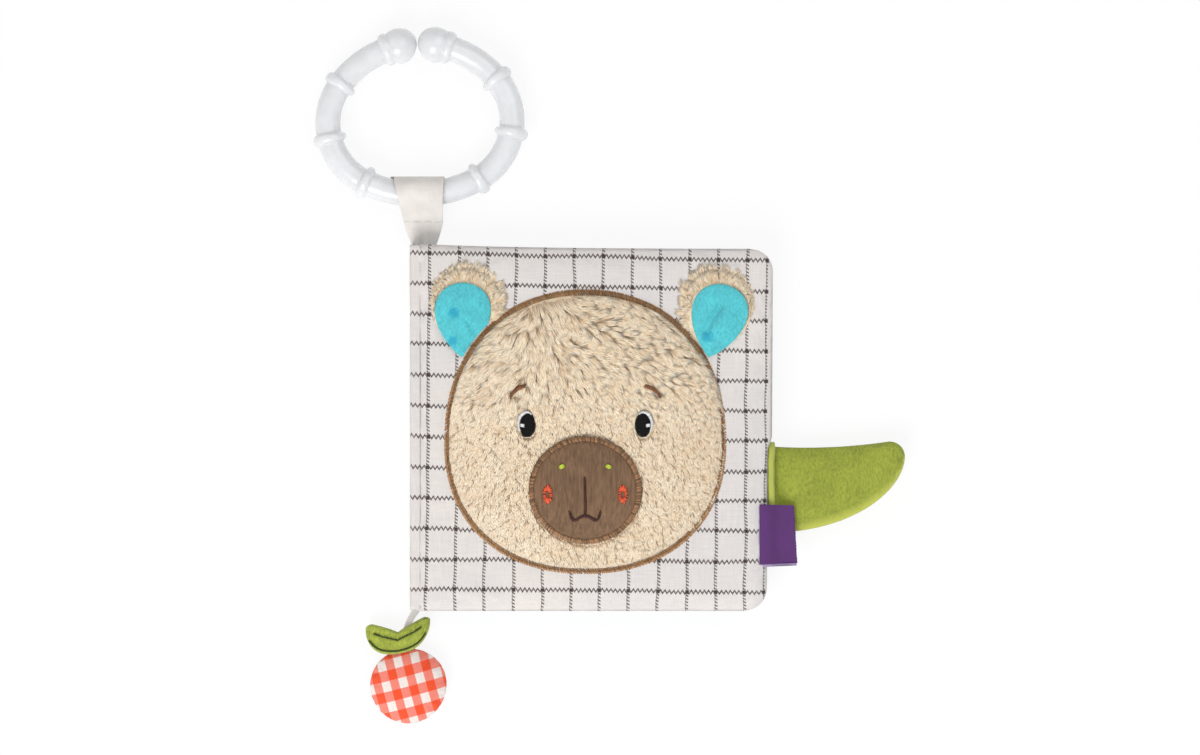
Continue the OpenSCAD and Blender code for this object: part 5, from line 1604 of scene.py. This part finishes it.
def add_fruit(settings):
    """Stuffed fruit: two round faces of gingham that meet in a seam and pucker beside it."""
    angle = full_turn(128)
    wobble = 1 + 0.012 * np.sin(2 * angle + 1) + 0.008 * np.sin(3 * angle)
    share_r = 1 - (1 - np.linspace(0.03, 1, 26)) ** 1.7
    rows = []
    for side, shares in ((-1, share_r[:-1]), (0, share_r[-1:]), (1, share_r[:-1][::-1])):
        for t in shares:
            r = FRUIT_R * t * wobble
            x, y = FRUIT_MIDDLE[0] + r * np.cos(angle), FRUIT_MIDDLE[1] + r * np.sin(angle)
            pucker = 0.22 * MM * np.sin(26 * angle + 2 * np.sin(3 * angle))
            pucker = pucker * np.exp(-(1 - t) / 0.1) * (1 - t) * 9
            z = FRUIT_MIDDLE[2] + side * (fruit_half(FRUIT_R * t) * 0.95 + pucker)
            rows.append(np.stack([x, y, z], -1))
    fruit = add_piece("fruit_cushion", rows, gingham_finish(settings),
                      "back", ["pendant_fruit"])
    seam = (len(share_r) - 1) * len(angle)
    inflate(fruit, range(seam, seam + len(angle)), 2.0, 0.45 * MM, spare=0.03)


def leaf_edges(s):
    """Upper and lower edge of the leaf from tip to tip, above its lowest point: the upper edge rises from
    the notch and rounds over at each tip, and the lower edge is one full curve."""
    depth, lift, full, drop = 8.2, 4.6, 0.8, 1.5

    def upper_at(v):
        past = np.clip(np.abs(v) - full, 0, 1 - full) / (1 - full)
        return depth + lift * np.minimum(1, np.abs(v) / full) ** 0.8 - drop * (1 - np.sqrt(1 - past**2))

    lower = upper_at(1.0) * (1 - np.clip(1 - np.abs(s) ** 2.6, 0, 1) ** 0.5)
    return upper_at(s) * MM, lower * MM


def leaf_place(s, across):
    """Point of the leaf in the plane: s runs from tip to tip and across from the lower to the upper edge."""
    upper, lower = leaf_edges(s)
    x = LEAF_MIDDLE[0] + s * LEAF_REACH
    return x, LEAF_MIDDLE[1] + s * LEAF_SLOPE + lower + (upper - lower) * (across + 1) / 2


def leaf_height(x, y):
    """Underside of the leaf: it rests on the fruit and slopes down towards the ribbon."""
    return FRUIT_MIDDLE[2] + fruit_half(FRUIT_R - 2.1 * MM) + 2 * SEAT - 0.2 * (y - LEAF_MIDDLE[1])


def add_leaf(settings):
    """Leaf: a flat felt piece with a groove along its upper part, stitched along its outline and its vein."""
    s = np.sin(np.linspace(-1, 1, 70) * np.pi / 2) * 0.996
    a = np.sin(np.linspace(-1, 1, 30) * np.pi / 2)
    x, y = leaf_place(s[None] * np.ones((30, 1)), a[:, None] * np.ones(70))
    edge = np.clip((1 - np.abs(a))[:, None] * 6, 0, 1) * np.clip((1 - np.abs(s))[None] * 10, 0, 1)
    groove = np.exp(-(((a[:, None] - 0.3) / 0.1) ** 2)) * 0.35 * MM
    thick = 1.9 * MM * edge**0.5 - groove * edge + 0.08 * MM * waves(x, y, 5 * MM, 95)
    under = leaf_height(x, y)
    felt = velour_finish("Leaf felt", settings.leaf, 1500.0, 160.0, (1.0, 0.3, 1.0), sheen=0.4, contrast=0.28)
    leaf = add_piece("leaf_cushion", pillow(x, y, under + np.maximum(thick, 0.15 * MM), under), felt,
                     "back", ["pendant_leaf"])

    def ground(px, py):
        return leaf_height(px, py) + 1.75 * MM

    dark = thread_finish("Leaf thread", settings.leaf_thread, 0.5)
    # Pale threads laid just above the vein stand for the gloss on its stitches: a painted highlight.
    pale = thread_finish("Painted glint thread", tuple(np.minimum(np.array(settings.leaf) * 1.6, 1.0)), 0.5)
    t = np.linspace(-0.86, 0.86, 74)
    outline = np.stack(leaf_place(t, np.full(74, -0.72) + 0.5 * np.abs(t) ** 8), -1)
    vein = np.stack(leaf_place(t[6:-6], 0.3 + 0.0 * t[6:-6]), -1)
    glint = vein[8:-8] + np.array([0.1, 0.45]) * MM
    paths = [
        across_line(row, np.full(len(row), half * MM), ground, 0.3 * MM, 0.45 * MM, 1.4)
        for row, half in ((outline, 0.42), (vein, 0.34))
    ]
    add_threads("leaf_outline_threads", np.concatenate(paths), 0.34 * MM, dark, "back",
                ["leaf_stitching"], 12)
    paths = across_line(glint[::2], np.full(len(glint[::2]), 0.3 * MM), ground, 0.3 * MM, 0.4 * MM, 0.2)
    add_threads("leaf_glint_threads", paths, 0.3 * MM, pale, "back", (), 13)


# Stage


def add_floor(settings):
    """Floor in a plain pale colour, which the camera and reflections see lit from within."""
    mesh = bpy.data.meshes.new("floor")
    corners = [(-FLOOR_HALF, -FLOOR_HALF), (FLOOR_HALF, -FLOOR_HALF), (FLOOR_HALF, FLOOR_HALF),
               (-FLOOR_HALF, FLOOR_HALF)]
    mesh.from_pydata([(x, y, -0.3 * MM) for x, y in corners], [], [(0, 1, 2, 3)])
    floor = bpy.data.objects.new("floor", mesh)
    bpy.context.scene.collection.objects.link(floor)
    material, g, sockets = new_finish("Floor paper", Roughness=1.0, Specular_IOR_Level=0.0)
    g.feed(sockets["Base Color"], tuple(settings.floor))
    nodes = material.node_tree.nodes
    path = nodes.new("ShaderNodeLightPath").outputs
    seen = g.most(g.most(path["Is Camera Ray"], path["Is Glossy Ray"]), path["Is Transmission Ray"])
    glow = g.add("ShaderNodeEmission", Color=(1.0, 1.0, 1.0), Strength=1.0)
    both = nodes.new("ShaderNodeMixShader")
    for socket, value in zip(both.inputs, (g.times(seen, 0.88), nodes["Principled BSDF"].outputs[0], glow)):
        g.feed(socket, value)
    g.feed(nodes["Material Output"].inputs[0], both.outputs[0])
    mesh.materials.append(material)


def light_world(settings):
    """World that is white where the camera sees it and lights the object evenly."""
    world = bpy.data.worlds.new("Studio")
    world.use_nodes = True
    bpy.context.scene.world = world
    g = Graph(world.node_tree)
    path = world.node_tree.nodes.new("ShaderNodeLightPath").outputs
    background = world.node_tree.nodes["Background"].inputs
    g.feed(background["Color"], (1.0, 1.0, 1.0))
    g.feed(background["Strength"], g.scaled(path["Is Camera Ray"], 1.0 - settings.world, settings.world))


def add_lamp(name, place, width, power):
    """Square soft lamp at a place, turned to the object."""
    light = bpy.data.lights.new(name, "AREA")
    light.size = width
    light.energy = power
    lamp = bpy.data.objects.new(name, light)
    lamp.location = place
    lamp.rotation_euler = (Vector(LIT_POINT) - Vector(place)).to_track_quat("-Z", "Y").to_euler()
    bpy.context.scene.collection.objects.link(lamp)


def add_camera(settings):
    """Camera straight above the book, so high that its view at the cover is as wide as the photo's."""
    camera = bpy.data.cameras.new("camera")
    camera.lens = settings.lens
    camera.sensor_width = 36.0
    camera.clip_start, camera.clip_end = 0.01, 20.0
    eye = bpy.data.objects.new("camera", camera)
    height = settings.photo_width * settings.lens / camera.sensor_width
    eye.location = (*VIEW_MIDDLE, COVER_TOP + height)
    bpy.context.scene.collection.objects.link(eye)
    bpy.context.scene.camera = eye


# Operators


class CLOTHBOOK_OT_covers(Operator):
    """Make the front and the back cover"""

    bl_idname = "cloth_book.covers"
    bl_label = "Covers"
    bl_options = {"REGISTER", "UNDO"}

    def execute(self, context):
        scene = context.scene
        settings = scene.cloth_book_covers
        add_cover("front_panel", "front_cover", "front", FORE_EDGE_SLANT, 1, settings, 11)
        add_cover("back_panel", "back_cover", "back", FORE_EDGE_SLANT, -1, settings, 15)
        return {"FINISHED"}


class CLOTHBOOK_OT_pages(Operator):
    """Make the block of pages and the spine cloth"""

    bl_idname = "cloth_book.pages"
    bl_label = "Pages and spine"
    bl_options = {"REGISTER", "UNDO"}

    def execute(self, context):
        scene = context.scene
        add_pages(scene.cloth_book_covers)
        add_spine(scene.cloth_book_covers)
        return {"FINISHED"}


class CLOTHBOOK_OT_head(Operator):
    """Make the plush head, its fur and its satin border"""

    bl_idname = "cloth_book.head"
    bl_label = "Head"
    bl_options = {"REGISTER", "UNDO"}

    def execute(self, context):
        scene = context.scene
        add_head(scene.cloth_book_head)
        add_head_border(scene.cloth_book_head)
        return {"FINISHED"}


class CLOTHBOOK_OT_ears(Operator):
    """Make both ears"""

    bl_idname = "cloth_book.ears"
    bl_label = "Ears"
    bl_options = {"REGISTER", "UNDO"}

    def execute(self, context):
        scene = context.scene
        left = {"line": ((0.5, 1.5), (6.5, -7.5)), "width": 0.8, "depth": 0.9, "bulge": 0.1,
                "spots": (((-3.2, 2.6), 2.2), ((-3.6, -8.2), 2.0))}
        right = {"line": ((2.2, 7.5), (-6.4, -6.0)), "width": 1.3, "depth": 1.7, "bulge": 0.6,
                 "spots": (((-4.0, -6.2), 2.2),)}
        add_ear(-1, np.radians(-1.0), left, scene.cloth_book_head)
        add_ear(1, np.radians(-14.0), right, scene.cloth_book_head)
        return {"FINISHED"}


class CLOTHBOOK_OT_muzzle(Operator):
    """Make the velour muzzle and its border"""

    bl_idname = "cloth_book.muzzle"
    bl_label = "Muzzle"
    bl_options = {"REGISTER", "UNDO"}

    def execute(self, context):
        scene = context.scene
        add_muzzle(scene.cloth_book_face)
        return {"FINISHED"}


class CLOTHBOOK_OT_face(Operator):
    """Make the embroidered eyes, brows, nostrils, cheeks and mouth"""

    bl_idname = "cloth_book.face"
    bl_label = "Embroidery"
    bl_options = {"REGISTER", "UNDO"}

    def execute(self, context):
        scene = context.scene
        add_eyes(scene.cloth_book_face)
        add_brows(scene.cloth_book_face)
        add_muzzle_stitches(scene.cloth_book_face)
        return {"FINISHED"}


class CLOTHBOOK_OT_tab(Operator):
    """Make the leaf tab and the side label"""

    bl_idname = "cloth_book.tab"
    bl_label = "Tab and label"
    bl_options = {"REGISTER", "UNDO"}

    def execute(self, context):
        scene = context.scene
        add_tab(scene.cloth_book_trim)
        add_label(scene.cloth_book_trim)
        return {"FINISHED"}


class CLOTHBOOK_OT_ring(Operator):
    """Make the clip ring and its ribbon loop"""

    bl_idname = "cloth_book.ring"
    bl_label = "Ring and loop"
    bl_options = {"REGISTER", "UNDO"}

    def execute(self, context):
        scene = context.scene
        add_ring(scene.cloth_book_trim)
        add_loop(scene.cloth_book_trim)
        return {"FINISHED"}


class CLOTHBOOK_OT_pendant(Operator):
    """Make the fruit pendant"""

    bl_idname = "cloth_book.pendant"
    bl_label = "Pendant"
    bl_options = {"REGISTER", "UNDO"}

    def execute(self, context):
        scene = context.scene
        add_pendant(scene.cloth_book_trim)
        return {"FINISHED"}


class CLOTHBOOK_OT_stage(Operator):
    """Make the floor, the lamps and the camera"""

    bl_idname = "cloth_book.stage"
    bl_label = "Stage"
    bl_options = {"REGISTER", "UNDO"}

    def execute(self, context):
        scene = context.scene
        settings = scene.cloth_book_stage
        scene.view_settings.view_transform = "Standard"
        add_floor(settings)
        light_world(settings)
        add_lamp("key", (-0.45, -0.95, 1.15), 0.9, settings.key_power)
        add_lamp("fill", (0.7, 0.8, 1.3), 1.2, settings.fill_power)
        add_camera(settings)
        return {"FINISHED"}


class CLOTHBOOK_PT_panel(Panel):
    """Lists the settings and the pieces"""

    bl_label = "Cloth Book"
    bl_idname = "CLOTHBOOK_PT_panel"
    bl_space_type = "VIEW_3D"
    bl_region_type = "UI"
    bl_category = "Cloth Book"

    def draw(self, context):
        for name in SETTINGS:
            group = getattr(context.scene, name)
            box = self.layout.box()
            box.label(text=group.bl_rna.description)
            for prop in group.bl_rna.properties:
                if prop.identifier not in ("rna_type", "name"):
                    box.prop(group, prop.identifier)
        for operator in OPERATORS:
            self.layout.operator(operator.bl_idname)


SETTINGS = ("cloth_book_covers", "cloth_book_head", "cloth_book_face", "cloth_book_trim", "cloth_book_stage")
OPERATORS = (
    CLOTHBOOK_OT_stage, CLOTHBOOK_OT_covers, CLOTHBOOK_OT_pages, CLOTHBOOK_OT_head, CLOTHBOOK_OT_ears,
    CLOTHBOOK_OT_muzzle, CLOTHBOOK_OT_face, CLOTHBOOK_OT_tab, CLOTHBOOK_OT_ring, CLOTHBOOK_OT_pendant,
)


def register():
    """Registers every class and hangs the settings on the scene."""
    for item in (*GROUPS, *OPERATORS, CLOTHBOOK_PT_panel):
        bpy.utils.register_class(item)
    for name, group in zip(SETTINGS, GROUPS):
        setattr(bpy.types.Scene, name, PointerProperty(type=group))


def unregister():
    """Takes the settings and the classes away again."""
    for name in SETTINGS:
        delattr(bpy.types.Scene, name)
    for item in reversed((*GROUPS, *OPERATORS, CLOTHBOOK_PT_panel)):
        bpy.utils.unregister_class(item)


def main():
    """Builds the stage and every piece."""
    register()
    for operator in OPERATORS:
        getattr(bpy.ops.cloth_book, operator.bl_idname.split(".")[1])()


if __name__ == "__main__":
    main()
